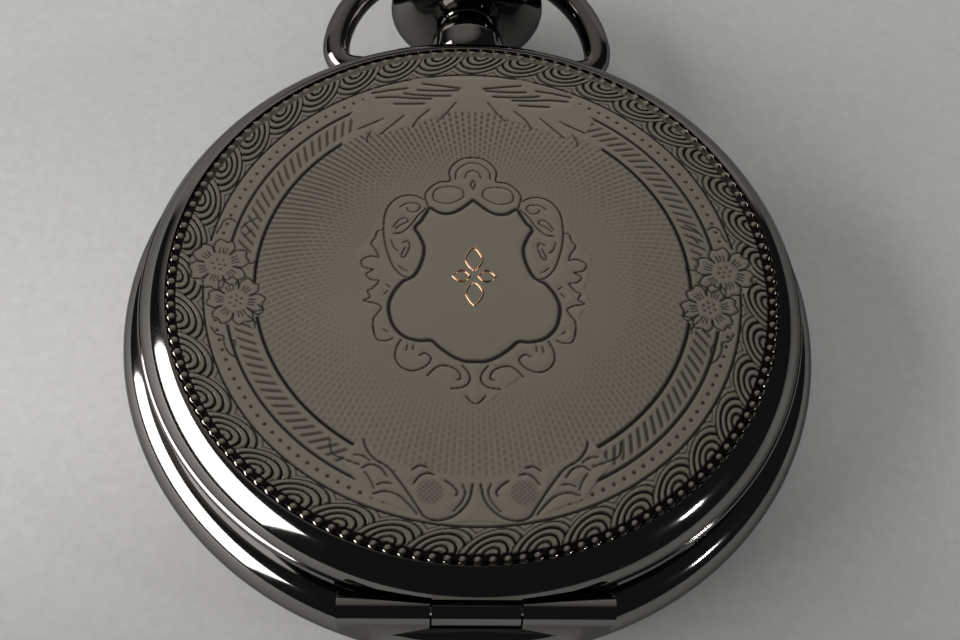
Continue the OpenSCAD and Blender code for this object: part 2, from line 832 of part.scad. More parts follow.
// Two screws through the band's ledge into the plate's rim
module case_screws() {
    color(steel)
        case_screw_places() {
            shaft(0.75, rim_z - ledge_t - screw_head_t, rim_z - ledge_t);
            shaft(screw_r, rim_z - ledge_t - eps, rim_z + screw_depth);
        }
}

// Main plate with its rim, the barrel's pocket, the winding slot and the motion work's recess
module main_plate() {
    color(gold)
        difference() {
            union() {
                shaft(plate_r, plate_z, plate_top);
                shaft(rim_r, rim_z, dial_z);
            }
            shaft(recess_r, plate_top, dial_z + 1);
            at(barrel_pos) {
                shaft(barrel_m * (barrel_teeth / 2 + 0.7) + 0.3, 0, barrel_z + barrel_h + side_gap);
                shaft(barrel_end_r + run_gap, 0, case_t);
            }
            shaft(centre_m * centre_leaves / 2 + 0.5, 0, barrel_z + barrel_h + side_gap);
            shaft(centre_arbor_r + run_gap, 0, case_t);
            at(fourth_pos)
                shaft(arbor_r + run_gap, 0, case_t);
            for (p = [third_pos, escape_pos, balance_pos, pallet_pos])
                at(p)
                    shaft(jewel_r + seat_gap, plate_z - eps, plate_z + jewel_t);
            for (p = concat(barrel_feet, train_feet, [cock_foot, pallet_foot]))
                at(p)
                    shaft(screw_r + seat_gap, plate_z - eps, plate_z + screw_depth + 0.2);
            translate([-slot_w, slot_y0, plate_z - eps])
                cube([2 * slot_w, slot_y1 - slot_y0, plate_top - plate_z + 2 * eps]);
            stem_shaft(stem_r + 2 * run_gap, slot_y0 - stem_tail - crown_push - side_gap, case_r);
            case_screw_places()
                shaft(screw_r + seat_gap, rim_z - 1, rim_z + screw_depth + 0.1);
            for (p = dial_feet)
                at(p)
                    shaft(dial_foot_r + seat_gap, plate_top - dial_foot_h - 2 * run_gap, case_t);
            for (p = [minute_pos, setting_pos, lever_pivot])
                at(p)
                    shaft(post_r + seat_gap, plate_top - post_h - 2 * run_gap, case_t);
        }
}

// Bridge plate of a given outline, with feet down to the main plate and screw holes
module bridge(feet) {
    difference() {
        union() {
            translate([0, 0, bridge_z])
                linear_extrude(bridge_top - bridge_z)
                    children();
            for (p = feet)
                at(p)
                    shaft(foot_pillar_r, bridge_top - eps, plate_z);
        }
        for (p = feet)
            at(p)
                sunk_hole(bridge_z, plate_z - bridge_z + 1);
    }
}

// Bridge over the barrel and the winding wheels, with the crown wheel's post
module barrel_bridge() {
    color(gold)
        difference() {
            union() {
                bridge(barrel_feet)
                    intersection() {
                        circle(r = plate_r - 0.2);
                        polygon(plan * [[-9.4, 20], [-9.4, 9], [-4.4, 2.4], [20, 2.4], [20, 20]]);
                    }
                at([0, crown_wheel_y])
                    shaft(crown_post_r, bridge_top - eps, crown_wheel_top - crown_sink);
                at(click_pos)
                    shaft(click_post_r, bridge_top - eps, ratchet_z + ratchet_t);
            }
            at(barrel_pos)
                shaft(barrel_arbor_r + run_gap, 0, case_t);
            at([0, crown_wheel_y])
                shaft(screw_r + seat_gap, 0, case_t);
            at(click_pos)
                shaft(click_screw_r + seat_gap, 0, case_t);
        }
}

module train_bridge() {
    color(gold)
        difference() {
            bridge(train_feet)
                intersection() {
                    circle(r = plate_r - 0.2);
                    polygon(plan * [[-6.2, -20], [-6.2, -6], [-3.4, 2.1], [20, 2.1], [20, -20]]);
                }
            shaft(centre_foot_r + run_gap, 0, case_t);
            for (p = [third_pos, fourth_pos, escape_pos])
                at(p)
                    shaft(jewel_r + seat_gap, 0, case_t);
        }
}

// Cock over the balance, reaching in from its foot at the plate's edge
module balance_cock() {
    along = angle_to(cock_foot, balance_pos);
    reach = norm(balance_pos - cock_foot);
    color(gold)
        difference() {
            bridge([cock_foot])
                intersection() {
                    circle(r = plate_r - 0.2);
                    union() {
                        translate(balance_pos)
                            circle(r = 2.2);
                        translate(cock_foot)
                            circle(r = 2.2);
                        translate(cock_foot)
                            rotate(along)
                                polygon([[0, -2], [reach, -1.5], [reach, 1.5], [0, 2]]);
                    }
                }
            at(balance_pos)
                shaft(jewel_r + seat_gap, 0, case_t);
            at(stud_pos)
                shaft(stud_r + seat_gap, 0, case_t);
        }
}

// Low bridge over the pallet fork, under the balance's rim
module pallet_bridge() {
    along = angle_to(pallet_foot, pallet_pos);
    reach = norm(pallet_pos - pallet_foot);
    color(gold)
        difference() {
            union() {
                translate([0, 0, pallet_bridge_z])
                    linear_extrude(pallet_bridge_t)
                        union() {
                            translate(pallet_pos)
                                circle(r = 0.9);
                            translate(pallet_foot)
                                circle(r = 1.4);
                            translate(pallet_foot)
                                rotate(along)
                                    polygon([[0, -1.1], [reach, -0.8], [reach, 0.8], [0, 1.1]]);
                        }
                at(pallet_foot)
                    shaft(1.2, pallet_bridge_z, plate_z);
            }
            at(pallet_pos)
                shaft(pivot_r + run_gap, 0, case_t);
            at(pallet_foot)
                shaft(screw_r + seat_gap, 0, case_t);
        }
}

module bridge_screws() {
    color("steelblue") {
        for (p = concat(barrel_feet, train_feet, [cock_foot]))
            at(p)
                sunk_screw(bridge_z, plate_z + screw_depth - bridge_z);
        at(pallet_foot) {
            shaft(screw_head_r, pallet_bridge_z - 0.35, pallet_bridge_z);
            shaft(screw_r, pallet_bridge_z - eps, plate_z + screw_depth);
        }
    }
}

// Jewel bearings of the train, the pallet fork and the balance
module jewels() {
    color("crimson") {
        for (p = [third_pos, fourth_pos, escape_pos, balance_pos])
            at(p)
                ring(pivot_r + run_gap, jewel_r, bridge_top - jewel_t, bridge_top);
        for (p = [third_pos, escape_pos, balance_pos, pallet_pos])
            at(p)
                ring(pivot_r + run_gap, jewel_r, plate_z, plate_z + jewel_t);
    }
}

barrel_wall = 0.35;
barrel_out_r = barrel_m * (barrel_teeth / 2 - 1.1);
barrel_in_r = barrel_out_r - barrel_wall;
barrel_floor = 0.3;

// Mainspring barrel with its teeth
module barrel() {
    color(gold)
        at(barrel_pos)
            difference() {
                union() {
                    shaft(barrel_out_r, barrel_z, barrel_z + barrel_h);
                    translate([0, 0, barrel_z + 0.1])
                        linear_extrude(0.6)
                            wheel_shape(barrel_teeth, barrel_m);
                }
                shaft(barrel_in_r, barrel_z + barrel_floor, barrel_z + barrel_h + eps);
                shaft(barrel_arbor_r + run_gap, 0, case_t);
            }
}

module barrel_cover() {
    color(gold)
        at(barrel_pos)
            ring(barrel_arbor_r + run_gap, barrel_in_r - seat_gap,
                barrel_z + barrel_h - barrel_floor, barrel_z + barrel_h);
}

spring_turns = 7;
spring_strip = 0.16;
mainspring_r0 = 1.9;
mainspring_r1 = barrel_in_r - 0.25;
mainspring_pitch = (mainspring_r1 - mainspring_r0) / spring_turns;

// Both edges of a flat spiral strip
function spiral(r0, r1, turns, side) =
    let (steps = turns * 24)
    [for (i = [0 : steps]) let (a = i * 15) (r0 + (r1 - r0) * i / steps + side) * [cos(a), sin(a)]];

function reversed(list) = [for (i = [len(list) - 1 : -1 : 0]) list[i]];

module spiral_strip(r0, r1, turns, strip, thick) {
    linear_extrude(thick)
        polygon(concat(
            spiral(r0, r1, turns, -strip / 2),
            reversed(spiral(r0, r1, turns, strip / 2))));
}

// Mainspring, wound as a flat spiral inside the barrel
module mainspring() {
    color("lightsteelblue")
        at(barrel_pos)
            translate([0, 0, barrel_z + barrel_floor + 0.1])
                spiral_strip(mainspring_r0, mainspring_r1, spring_turns, spring_strip,
                    barrel_h - barrel_floor - 0.5);
}

// Arbor of the barrel, with the square that carries the ratchet wheel
module barrel_arbor() {
    color(steel)
        at(barrel_pos)
            difference() {
                union() {
                    shaft(barrel_arbor_r, bridge_z + 0.3, barrel_z + barrel_h);
                    shaft(1.5, barrel_z + barrel_floor + 0.1, barrel_z + barrel_h - 0.4);
                    shaft(barrel_end_r, barrel_z + barrel_h - eps, plate_top - 2 * run_gap);
                }
                shaft(ratchet_screw_r + seat_gap, 0, ratchet_z + ratchet_t);
            }
}

module ratchet_wheel() {
    color(steel)
        at(barrel_pos)
            difference() {
                translate([0, 0, ratchet_z])
                    linear_extrude(ratchet_t)
                        rotate(ratchet_phase)
                            wheel_shape(ratchet_teeth, wind_m);
                shaft(barrel_arbor_r + seat_gap, 0, case_t);
            }
}

module ratchet_screw() {
    color("steelblue")
        at(barrel_pos) {
            shaft(0.8, bridge_z - 0.1, bridge_z + 0.28);
            shaft(ratchet_screw_r, bridge_z, ratchet_z + ratchet_t - run_gap);
        }
}

crown_wheel_phase = 90;
ratchet_phase = mesh_phase(angle_to([0, crown_wheel_y], barrel_pos), crown_wheel_phase,
    crown_wheel_teeth, ratchet_teeth);

// Crown wheel, turned by the winding pinion and turning the ratchet wheel
module crown_wheel() {
    color(steel)
        at([0, crown_wheel_y])
            difference() {
                translate([0, 0, ratchet_z])
                    linear_extrude(crown_wheel_top - ratchet_z)
                        rotate(crown_wheel_phase)
                            wheel_shape(crown_wheel_teeth, wind_m);
                shaft(crown_post_r + run_gap, 0, case_t);
                shaft(crown_head_r + 4 * run_gap, crown_wheel_top - crown_sink - run_gap, case_t);
            }
}

module crown_wheel_screw() {
    color("steelblue")
        at([0, crown_wheel_y]) {
            shaft(screw_r, bridge_z, crown_wheel_top - crown_sink + eps);
            shaft(crown_head_r, crown_wheel_top - crown_sink, crown_wheel_top - run_gap);
        }
}

// The click stands clear of the ratchet wheel's tips by a small gap
click_angle = 20;
click_gap = 0.12;
ratchet_tip_r = wind_m * (ratchet_teeth / 2 + 0.7);
click_pos = barrel_pos + (ratchet_tip_r + 1.6) * [cos(click_angle), sin(click_angle)];
click_reach = 16;
click_post_r = 0.4;
click_screw_r = 0.2;

module click() {
    tip_angle = click_angle + click_reach;
    tip = barrel_pos + (ratchet_tip_r + click_gap) * [cos(tip_angle), sin(tip_angle)];
    toward = angle_to(click_pos, tip);
    reach = norm(tip - click_pos);
    color(steel)
        at(click_pos)
            difference() {
                translate([0, 0, ratchet_z])
                    linear_extrude(ratchet_t - 0.1)
                        rotate(toward)
                            union() {
                                circle(r = 0.9);
                                polygon([[0, -0.9], [reach, 0], [0, 0.9]]);
                            }
                shaft(click_post_r + run_gap, 0, case_t);
            }
}

module click_screw() {
    color("steelblue")
        at(click_pos) {
            shaft(click_screw_r, bridge_z, ratchet_z + ratchet_t + eps);
            shaft(0.7, ratchet_z + ratchet_t, ratchet_z + ratchet_t + 0.25);
        }
}

// Wire spring that bears on the click's tail
module click_spring() {
    color("lightsteelblue")
        at(click_pos)
            rotate(click_angle - 30)
                translate([0, 0, ratchet_z]) {
                    rotate_extrude(angle = 100)
                        translate([1.35, 0])
                            square([0.2, 0.35]);
                    translate([1.35, -1.2, -side_gap])
                        cube([0.4, 1.3, 0.35 + side_gap]);
                }
}

winding_phase = 90;

// Winding pinion round the stem, in the main plate's slot
module winding_pinion() {
    color(steel)
        on_stem()
            translate([0, 0, winding_y])
                difference() {
                    linear_extrude(winding_len)
                        rotate(winding_phase + 180 / winding_leaves)
                            polygon(tooth_points(winding_leaves, wind_m, 0, 1.2, 0.3, 0.24));
                    translate([0, 0, -eps])
                        cylinder(r = stem_thin_r + run_gap, h = winding_len + 2 * eps);
                }
}

module clutch_wheel() {
    color(steel)
        on_stem()
            translate([0, 0, clutch_y])
                difference() {
                    union() {
                        cylinder(r = clutch_r - 0.35, h = clutch_len);
                        linear_extrude(0.5)
                            polygon(tooth_points(10, 2 * clutch_r / 10, 0, 0.9, 0.4, 0.3));
                        translate([0, 0, clutch_len - 0.5])
                            cylinder(r = clutch_r, h = 0.5);
                    }
                    translate([0, 0, -eps])
                        cylinder(r = stem_thin_r + run_gap, h = clutch_len + 2 * eps);
                }
}

lever_pivot = [4.6 * plan, slot_y1 - 2.2];
lever_z = plate_top + 0.08;
lever_t = 0.3;

// Setting lever, which the stem turns when it is pulled out
module setting_lever() {
    color(steel)
        at(lever_pivot)
            difference() {
                union() {
                    shaft(0.9, lever_z, lever_z + lever_t);
                    translate([0, 0, lever_z])
                        linear_extrude(lever_t)
                            polygon([
                                [0, 0.8], [-2.7, 0.4], [-2.7, -0.3], [-0.6, -0.6],
                                [-0.5, -3.2], [0.3, -3.2], [0.7, 0]]);
                }
                shaft(post_r + run_gap, 0, case_t);
            }
}

module setting_lever_screw() {
    color("steelblue")
        at(lever_pivot) {
            shaft(post_r, plate_top - post_h, lever_z + lever_t + run_gap);
            shaft(0.65, lever_z + lever_t + run_gap, dial_z - 2 * run_gap);
        }
}

motion_z = plate_top + 0.1;
motion_t = 0.25;

module setting_wheel() {
    color(gold)
        at(setting_pos) {
            translate([0, 0, motion_z])
                spoked_wheel(setting_teeth, motion_m, motion_t, 0.5,
                    mesh_phase(90, minute_phase, minute_teeth, setting_teeth));
            shaft(post_r, plate_top - post_h, motion_z + motion_t + 0.2);
        }
}

minute_phase = mesh_phase(90, 0, cannon_leaves, minute_teeth);

module minute_wheel() {
    color(gold)
        at(minute_pos) {
            translate([0, 0, motion_z])
                spoked_wheel(minute_teeth, motion_m, motion_t, 0.7, minute_phase);
            translate([0, 0, motion_z + motion_t - eps])
                pinion(minute_leaves, hour_mod, 0.42, 0);
            shaft(post_r, plate_top - post_h, motion_z + eps);
        }
}

// Cannon pinion, pressed on the centre arbor, with the minute hand on its tube
module cannon_pinion() {
    color(steel)
        difference() {
            union() {
                translate([0, 0, motion_z])
                    pinion(cannon_leaves, motion_m, motion_t, 0);
                shaft(cannon_tube_r, motion_z, minute_z + hand_t + 2 * run_gap);
            }
            shaft(centre_post_r + seat_gap, 0, minute_z);
        }
}

module hour_wheel() {
    hour_wheel_z = motion_z + motion_t + side_gap - 0.05;
    color(gold)
        difference() {
            union() {
                translate([0, 0, hour_wheel_z])
                    spoked_wheel(hour_teeth, hour_mod, 0.2, hour_tube_r,
                        mesh_phase(-90, 0, minute_leaves, hour_teeth));
                shaft(hour_tube_r, hour_wheel_z, hour_z + hand_t + run_gap);
            }
            shaft(cannon_tube_r + run_gap, 0, case_t);
        }
}

centre_pinion_phase = mesh_phase(angle_to(barrel_pos, [0, 0]), 0, barrel_teeth, centre_leaves);

// Centre wheel, its pinion under the barrel's teeth, and its long arbor
module centre_wheel() {
    color(gold) {
        translate([0, 0, centre_wheel_z])
            spoked_wheel(centre_teeth, centre_m, wheel_t, 0.7, 0);
        translate([0, 0, barrel_z])
            pinion(centre_leaves, barrel_m, 0.9, centre_pinion_phase);
        shaft(centre_foot_r, bridge_z + 0.2, barrel_z + eps);
        shaft(centre_arbor_r, barrel_z + 0.5, plate_top + 0.05);
        shaft(centre_post_r, plate_top, minute_z - run_gap);
    }
}

module third_wheel() {
    color(gold)
        at(third_pos) {
            translate([0, 0, third_wheel_z])
                spoked_wheel(third_teeth, third_m, wheel_t, 0.5, 0);
            translate([0, 0, centre_wheel_z - 0.2])
                pinion(third_leaves, centre_m, third_wheel_z - centre_wheel_z + 0.2 + eps,
                    mesh_phase(angle_to([0, 0], third_pos), 0, centre_teeth, third_leaves));
            arbor(arbor_r);
        }
}

module fourth_wheel() {
    color(gold)
        at(fourth_pos) {
            translate([0, 0, fourth_wheel_z])
                spoked_wheel(fourth_teeth, fourth_m, wheel_t, 0.5, 0);
            translate([0, 0, third_wheel_z - 0.1])
                pinion(fourth_leaves, third_m, 0.5,
                    mesh_phase(angle_to(third_pos, fourth_pos), 0, third_teeth, fourth_leaves));
            shaft(arbor_r, bridge_top + 0.05, plate_top + 0.3);
            shaft(pivot_r, bridge_top - jewel_t + 0.1, second_z + hand_t + 0.05);
        }
}

// Escape wheel with pointed, leaning teeth
module escape_wheel() {
    pitch = 360 / escape_teeth;
    tooth = [[0.7, 0], [1, 0.28], [0.97, 0.42], [0.68, 0.3]];
    color(gold)
        at(escape_pos) {
            translate([0, 0, fork_z + 0.05])
                difference() {
                    linear_extrude(0.2)
                        polygon([for (i = [0 : escape_teeth - 1], p = tooth)
                            escape_r * p[0] * [cos(pitch * (i + p[1])), sin(pitch * (i + p[1]))]]);
                    for (a = [0 : 90 : 270])
                        rotate(a)
                            at([0.95, 0])
                                shaft(0.36, -eps, 1);
                }
            translate([0, 0, fourth_wheel_z - 0.1])
                pinion(escape_leaves, fourth_m, 0.45,
                    mesh_phase(angle_to(fourth_pos, escape_pos), 0, fourth_teeth, escape_leaves));
            arbor(0.25);
        }
}

// Pallet fork, with two stones beside the escape wheel and a forked end by the roller
module pallet_fork() {
    stone_gap = 0.2;
    reach = norm(balance_pos - pallet_pos) - roller_r - 0.3;
    stone_r = escape_r + stone_gap;
    color(steel)
        difference() {
            union() {
                at(pallet_pos)
                    rotate(lever_angle)
                        translate([0, 0, fork_z])
                            linear_extrude(fork_t)
                                union() {
                                    circle(r = 0.55);
                                    polygon([[0, -0.3], [reach, -0.22], [reach, 0.22], [0, 0.3]]);
                                    polygon([[reach - 0.5, -0.15], [reach, -0.42],
                                        [reach, 0.42], [reach - 0.5, 0.15]]);
                                    for (side = [-1, 1])
                                        polygon(plan * [[0.2, 0], [-0.25, side * 0.1],
                                            [-0.9, side * 2], [-0.45, side * 2.1]]);
                                }
                for (side = [-1, 1])
                    at(escape_pos)
                        rotate(lever_angle + side * 44)
                            translate([stone_r, -0.18, fork_z])
                                cube([0.7, 0.36, fork_t]);
                at(pallet_pos) {
                    shaft(0.3, fork_z - 0.1, plate_z - 0.05);
                    shaft(pivot_r, pallet_bridge_z + 0.1, plate_z + jewel_t - 0.1);
                }
            }
            at(escape_pos)
                shaft(stone_r, 0, case_t);
        }
}

// Balance rim with two arms and a ring of timing screws
module balance_wheel() {
    rim_w = 0.6;
    color(gold)
        at(balance_pos)
            difference() {
                union() {
                    ring(balance_rim_r - rim_w, balance_rim_r, balance_z, balance_z + balance_t);
                    shaft(0.9, balance_z, balance_z + balance_t);
                    rotate(lever_angle + 90)
                        translate([-balance_rim_r + 0.2, -0.35, balance_z])
                            cube([2 * balance_rim_r - 0.4, 0.7, 0.3]);
                    for (i = [0 : 11])
                        rotate(lever_angle + 15 + 30 * i)
                            translate([0, 0, balance_z + balance_t / 2])
                                rotate([0, 90, 0])
                                    shaft(0.2, balance_rim_r - 0.1, balance_rim_r + 0.3);
                }
                shaft(staff_r + seat_gap, 0, case_t);
            }
}

// Balance staff with its roller, impulse pin and collet
module balance_staff() {
    color(steel)
        at(balance_pos) {
            shaft(staff_r, hairspring_z - 2 * run_gap, plate_z - run_gap);
            shaft(pivot_r, bridge_top - jewel_t + 0.1, plate_z + jewel_t - 0.1);
            shaft(0.6, hairspring_z - 0.05, hairspring_z + hairspring_t + 0.05);
            shaft(0.55, balance_z - 0.1, balance_z - eps / 2);
            shaft(roller_r, fork_z - 0.25, fork_z - 0.1);
            rotate(lever_angle + 180)
                at([0.9, 0])
                    shaft(0.12, fork_z - 0.25, fork_z + fork_t);
        }
}

hairspring_turns = 6;
hairspring_r0 = 0.85;
hairspring_r1 = 3.2;
hairspring_strip = 0.1;
stud_angle = 60;
stud_r = 0.3;
stud_pos = balance_pos + (hairspring_r1 + 0.45) * [cos(stud_angle), sin(stud_angle)];

// Hairspring, a flat spiral from the collet to its stud
module hairspring() {
    color("steelblue")
        at(balance_pos)
            translate([0, 0, hairspring_z])
                rotate(stud_angle)
                    spiral_strip(hairspring_r0, hairspring_r1, hairspring_turns,
                        hairspring_strip, hairspring_t);
}

module hairspring_stud() {
    color(steel)
        at(stud_pos) {
            shaft(stud_r, bridge_z + 0.1, hairspring_z + hairspring_t);
            rotate(stud_angle + 180)
                translate([0, -0.15, hairspring_z])
                    cube([0.39, 0.3, hairspring_t]);
        }
}

// Regulator: an index arm that turns round the balance's jewel on the cock
module regulator() {
    color(steel)
        at(balance_pos)
            difference() {
                translate([0, 0, bridge_z - 0.25])
                    linear_extrude(0.2)
                        union() {
                            circle(r = 1.3);
                            rotate(angle_to(balance_pos, cock_foot))
                                polygon([[0, -0.5], [5.5, -0.15], [5.5, 0.15], [0, 0.5]]);
                        }
                shaft(0.8, 0, case_t);
            }
}

// Least gap between neighbouring turns of each flat spring
echo(mainspring_turn_gap = mainspring_pitch - spring_strip);
echo(hairspring_turn_gap = (hairspring_r1 - hairspring_r0) / hairspring_turns - hairspring_strip);
echo(barrel = barrel_pos, third = third_pos, fourth = fourth_pos, escape = escape_pos);
echo(pallet = pallet_pos, balance = balance_pos, crown_wheel = crown_wheel_y, click = click_pos);
echo(minute = minute_pos, setting = setting_pos, lever = lever_pivot, spring = spring_r);
echo(hinge = [-hinge_y, case_t - hinge_drop], pendant = [bow_y, stem_z], crown = [crown_y, crown_top]);

case_band();
back_cover();
front_cover();
hinge_pin();
lid_catch();
lift_spring();
spring_screws();
pendant();
pendant_sleeve();
bow();
crown();
winding_stem();
bezel();
crystal();
dial();
hour_hand();
minute_hand();
second_hand();
case_screws();
main_plate();
barrel_bridge();
train_bridge();
balance_cock();
pallet_bridge();
bridge_screws();
jewels();
barrel();
barrel_cover();
mainspring();
barrel_arbor();
ratchet_wheel();
ratchet_screw();
click();
click_screw();
click_spring();
crown_wheel();
crown_wheel_screw();
winding_pinion();
clutch_wheel();
setting_lever();
setting_lever_screw();
setting_wheel();
minute_wheel();
cannon_pinion();
hour_wheel();
centre_wheel();
third_wheel();
fourth_wheel();
escape_wheel();
pallet_fork();
balance_wheel();
balance_staff();
hairspring();
hairspring_stud();
regulator();
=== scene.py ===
"""Looks of the pocket watch: case, engraved lid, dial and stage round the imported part."""

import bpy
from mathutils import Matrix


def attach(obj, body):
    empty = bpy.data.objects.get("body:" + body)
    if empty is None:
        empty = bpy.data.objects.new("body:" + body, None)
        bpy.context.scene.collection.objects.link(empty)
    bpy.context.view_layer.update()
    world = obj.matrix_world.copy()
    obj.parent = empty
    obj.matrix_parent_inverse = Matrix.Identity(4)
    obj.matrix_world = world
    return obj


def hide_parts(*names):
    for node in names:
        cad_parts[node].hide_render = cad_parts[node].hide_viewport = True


bl_info = {
    "name": "Pocket watch looks",
    "version": (1, 0, 0),
    "blender": (4, 5, 0),
    "location": "3D View > Sidebar > Watch",
    "description": "Builds the visible pieces of a hinged-lid pocket watch round its packed model",
    "category": "Object",
}

from math import acos, cos, degrees, pi, radians, sin, tan, tau

import bpy
import numpy as np
from mathutils import Matrix, Vector, kdtree

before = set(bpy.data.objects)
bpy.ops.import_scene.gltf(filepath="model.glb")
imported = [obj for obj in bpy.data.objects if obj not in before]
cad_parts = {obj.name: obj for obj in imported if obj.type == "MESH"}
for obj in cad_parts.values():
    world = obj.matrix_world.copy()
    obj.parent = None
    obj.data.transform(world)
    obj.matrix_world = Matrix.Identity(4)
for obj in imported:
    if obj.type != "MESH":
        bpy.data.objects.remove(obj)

# The pieces are modelled in millimetres and brought to metres at the end
MM = 0.001
# Points closer than this, in millimetres, are merged
MERGE = 1e-4
# Polish of the case's plating, and its reflection at grazing sight
PLATING_ROUGH, PLATING_RIM = 0.07, 0.45
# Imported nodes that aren't of bright steel
BLUED = ("hour_hand", "minute_hand", "second_hand", "hairspring", "bridge_screws")
GILT = (
    "main_plate", "barrel_bridge", "train_bridge", "balance_cock", "pallet_bridge", "barrel",
    "barrel_cover", "centre_wheel", "third_wheel", "fourth_wheel", "escape_wheel",
    "balance_wheel", "minute_wheel", "hour_wheel", "setting_wheel",
)

# Left halves of the lid's engraved strokes, in hundredths of a millimetre: width, then steps to the
# left and up, from the lid's middle to the first point and on from point to point
STROKES = (
    (23, 1, 647, 90, -80, 68, -34, 67, 4, 67, 40, 21, -35, 38, -74, 41, -58, -31, -65, -32, -100,
     19, -120, 48, -100, 73, -50, 60, -89, 26, -97, -15, -104, -36, -75, -65, -58, -88, -23, -72, 1,
     -56, -51, -79, -62, -79, -35, -63, -3),
    (13, -3, 1013, 74, -13, 61, -51, 31, -66, -5, -75, 68, -12, 60, -44, 39, -64, -11, -73, -17,
     -38),
    (10, -3, 967, 57, -16, 56, -56, 10, -69),
    (10, -2, 902, 40, -22, 17, -48),
    (11, -1, 817, 16, -37, -15, -42),
    (10, 65, 715, 25, 31, 85, 13, 77, -27, 22, -64, -31, -41, -85, -9, -85, 48, -8, 49),
    (13, 336, 645, 60, 31, 76, -2, 67, -44, 49, -84, 14, -124, -8, -122, -30, -120, -35, -89, -58,
     -67, -58, -15),
    (11, 496, 579, -50, 33, -68, -3, -17, -33, 33, -36, 42, 9, 12, 25),
    (12, 319, 573, 55, -64, 44, -73, 58, -62, 58, -16),
    (11, 538, 413, -36, 56, -45, 22, -17, -29, 45, -29, 38, -34),
    (12, 475, 286, -37, 13, -10, -46, 32, -81, 21, 14, -27, 67),
    (10, 550, 311, -18, -60, -29, -30),
    (10, 497, 102, -34, -29, -21, -9),
    (12, 609, 385, 33, -9, 16, -57, 23, -41, -34, -60, -18, -49),
    (12, 629, 165, 58, 9, 56, -37, -17, -50, -66, -18),
    (12, 660, 69, 48, -40, -34, -39, -49, -9, 39, -59, 32, -20, -17, -48, 39, -29, -73, -18, -41,
     -28, 23, -48, 26, -48, -5, -85, -25, -64, -56, -9, -43, 20),
    (10, 576, -47, -25, -19),
    (10, 590, -125, -24, 30),
    (10, 585, -391, -25, -18),
    (13, 472, -464, 30, -65, 4, -74, -37, -63, -64, -27, -70, 20, -47, 46, -3, 37, 35, 27, 34, -16),
    (10, 431, -500, 8, -47),
    (10, 392, -500, 4, -37),
    (13, 303, -727, -39, 46, -48, 28, -63, -9, -47, -35, -12, -45, 23, -13),
    (13, 82, -651, -39, -54, -7, -55, 39, -45, 79, -14),
    (12, 60, -871, -26, -35, -28, -19),
    (16, 690, -1182, -17, -60, -47, -67, -85, -58, -61, -75, -62, -90, -61, -98, -45, -65, -74, -23,
     -90, 25, -67, 58, -38, 65, -19, 92),
    (14, 193, -1455, -45, -33, -30, -41, 7, -25),
    (12, 87, -1479, -17, -50, 21, -66, 50, -61),
    (14, 390, -1382, -45, 26, -49, -12),
    (14, 381, -1474, -37, 47, -45, 21, -42, -10),
    (14, 695, -1377, -48, 26, -60, -20, -44, -58),
    (14, 624, -1546, -71, 17, -78, -24, -61, -56, -54, -65),
    (12, 602, -1486, -45, 14, -40, -7),
    (12, 748, -1285, -54, -8, -46, -33),
    (12, 676, -1402, -31, -50, -24, -58),
    (12, 896, -1185, -19, -93, -77, -41, -85, -33),
    (13, 112, 1506, 62, -93, 53, -69),
    (14, 301, 1432, 75, -81, 43, -80),
    (14, 482, 1371, 86, -92, 76, -80),
    (14, 621, 1344, 86, -51, 86, -47),
    (12, 706, 1226, 24, -52, 3, -44),
    (20, 85, 1634, 143, 19, 124, 15),
    (20, 99, 1615, 146, -9, 142, 3),
    (20, 153, 1562, 128, -3, 133, 7, 66, 9),
    (20, 289, 1531, 133, 1, 138, 7, 120, -9),
    (20, 337, 1486, 102, -5, 109, -3),
    (20, 459, 1623, 123, -22, 124, -31),
    (13, 1708, 333, -23, 49, -22, 57, -38, 18, -41, -24),
    (13, 1547, 377, -31, 41, -44, 34, -38, 17),
    (13, 1516, 321, -30, 33, -15, 16),
    (13, 1682, -389, -36, -52, -49, -14),
    (13, 1597, -462, -10, -59, -33, -59, -47, -35),
    (12, 1555, -476, -32, -15, -3, -44),
    (13, 1468, 98, -51, 17, 23, -56),
    (13, 1396, -218, -39, -38, 28, -35, 32, 12),
    (13, 1454, -303, -41, -37, -10, -52),
)
# Strokes up to the bold width are drawn thinner by this factor
BOLD, THIN = 0.2, 0.8

# Left halves of the plain grounds that the flowing motifs stand on, as steps of the same kind
CARTOUCHE = (
    0, 1020, 80, -10, 70, -60, 30, -120, 120, -60, 50, -90, 130, 10, 110, -90, 50, -140, 60, -140,
    80, -130, -30, -130, -30, -120, 30, -100, -70, -100, 0, -140, -60, -90, -100, -30, -20, -120,
    -110, -50, -100, -30, -110, -90, -90, -90, -90, -40,
)
FEATHER = (
    0, 1766, 0, -216, 120, -50, 110, -130, 200, -80, 220, -90, 150, 40, 60, 120, -160, 250, -340,
    115,
)
RIBBON = (
    0, -1720, 240, -10, 400, 160, 180, 230, -110, 180, -230, -260, -120, 70, -170, -90, -190, -30,
)
FLOWERS = ((-16.7, 0.9, 1.95, 20.0), (-15.4, -1.9, 1.85, 55.0))


def length(name, about, default):
    """A size in metres, given in millimetres."""
    return bpy.props.FloatProperty(
        name=name, description=about, default=default * MM, unit="LENGTH", precision=5
    )


def count(name, about, default, least):
    """A number of like features."""
    return bpy.props.IntProperty(name=name, description=about, default=default, min=least)


def tone(name, about, default):
    """A linear colour."""
    return bpy.props.FloatVectorProperty(
        name=name, description=about, default=default, subtype="COLOR", size=3, min=0.0, max=1.0
    )


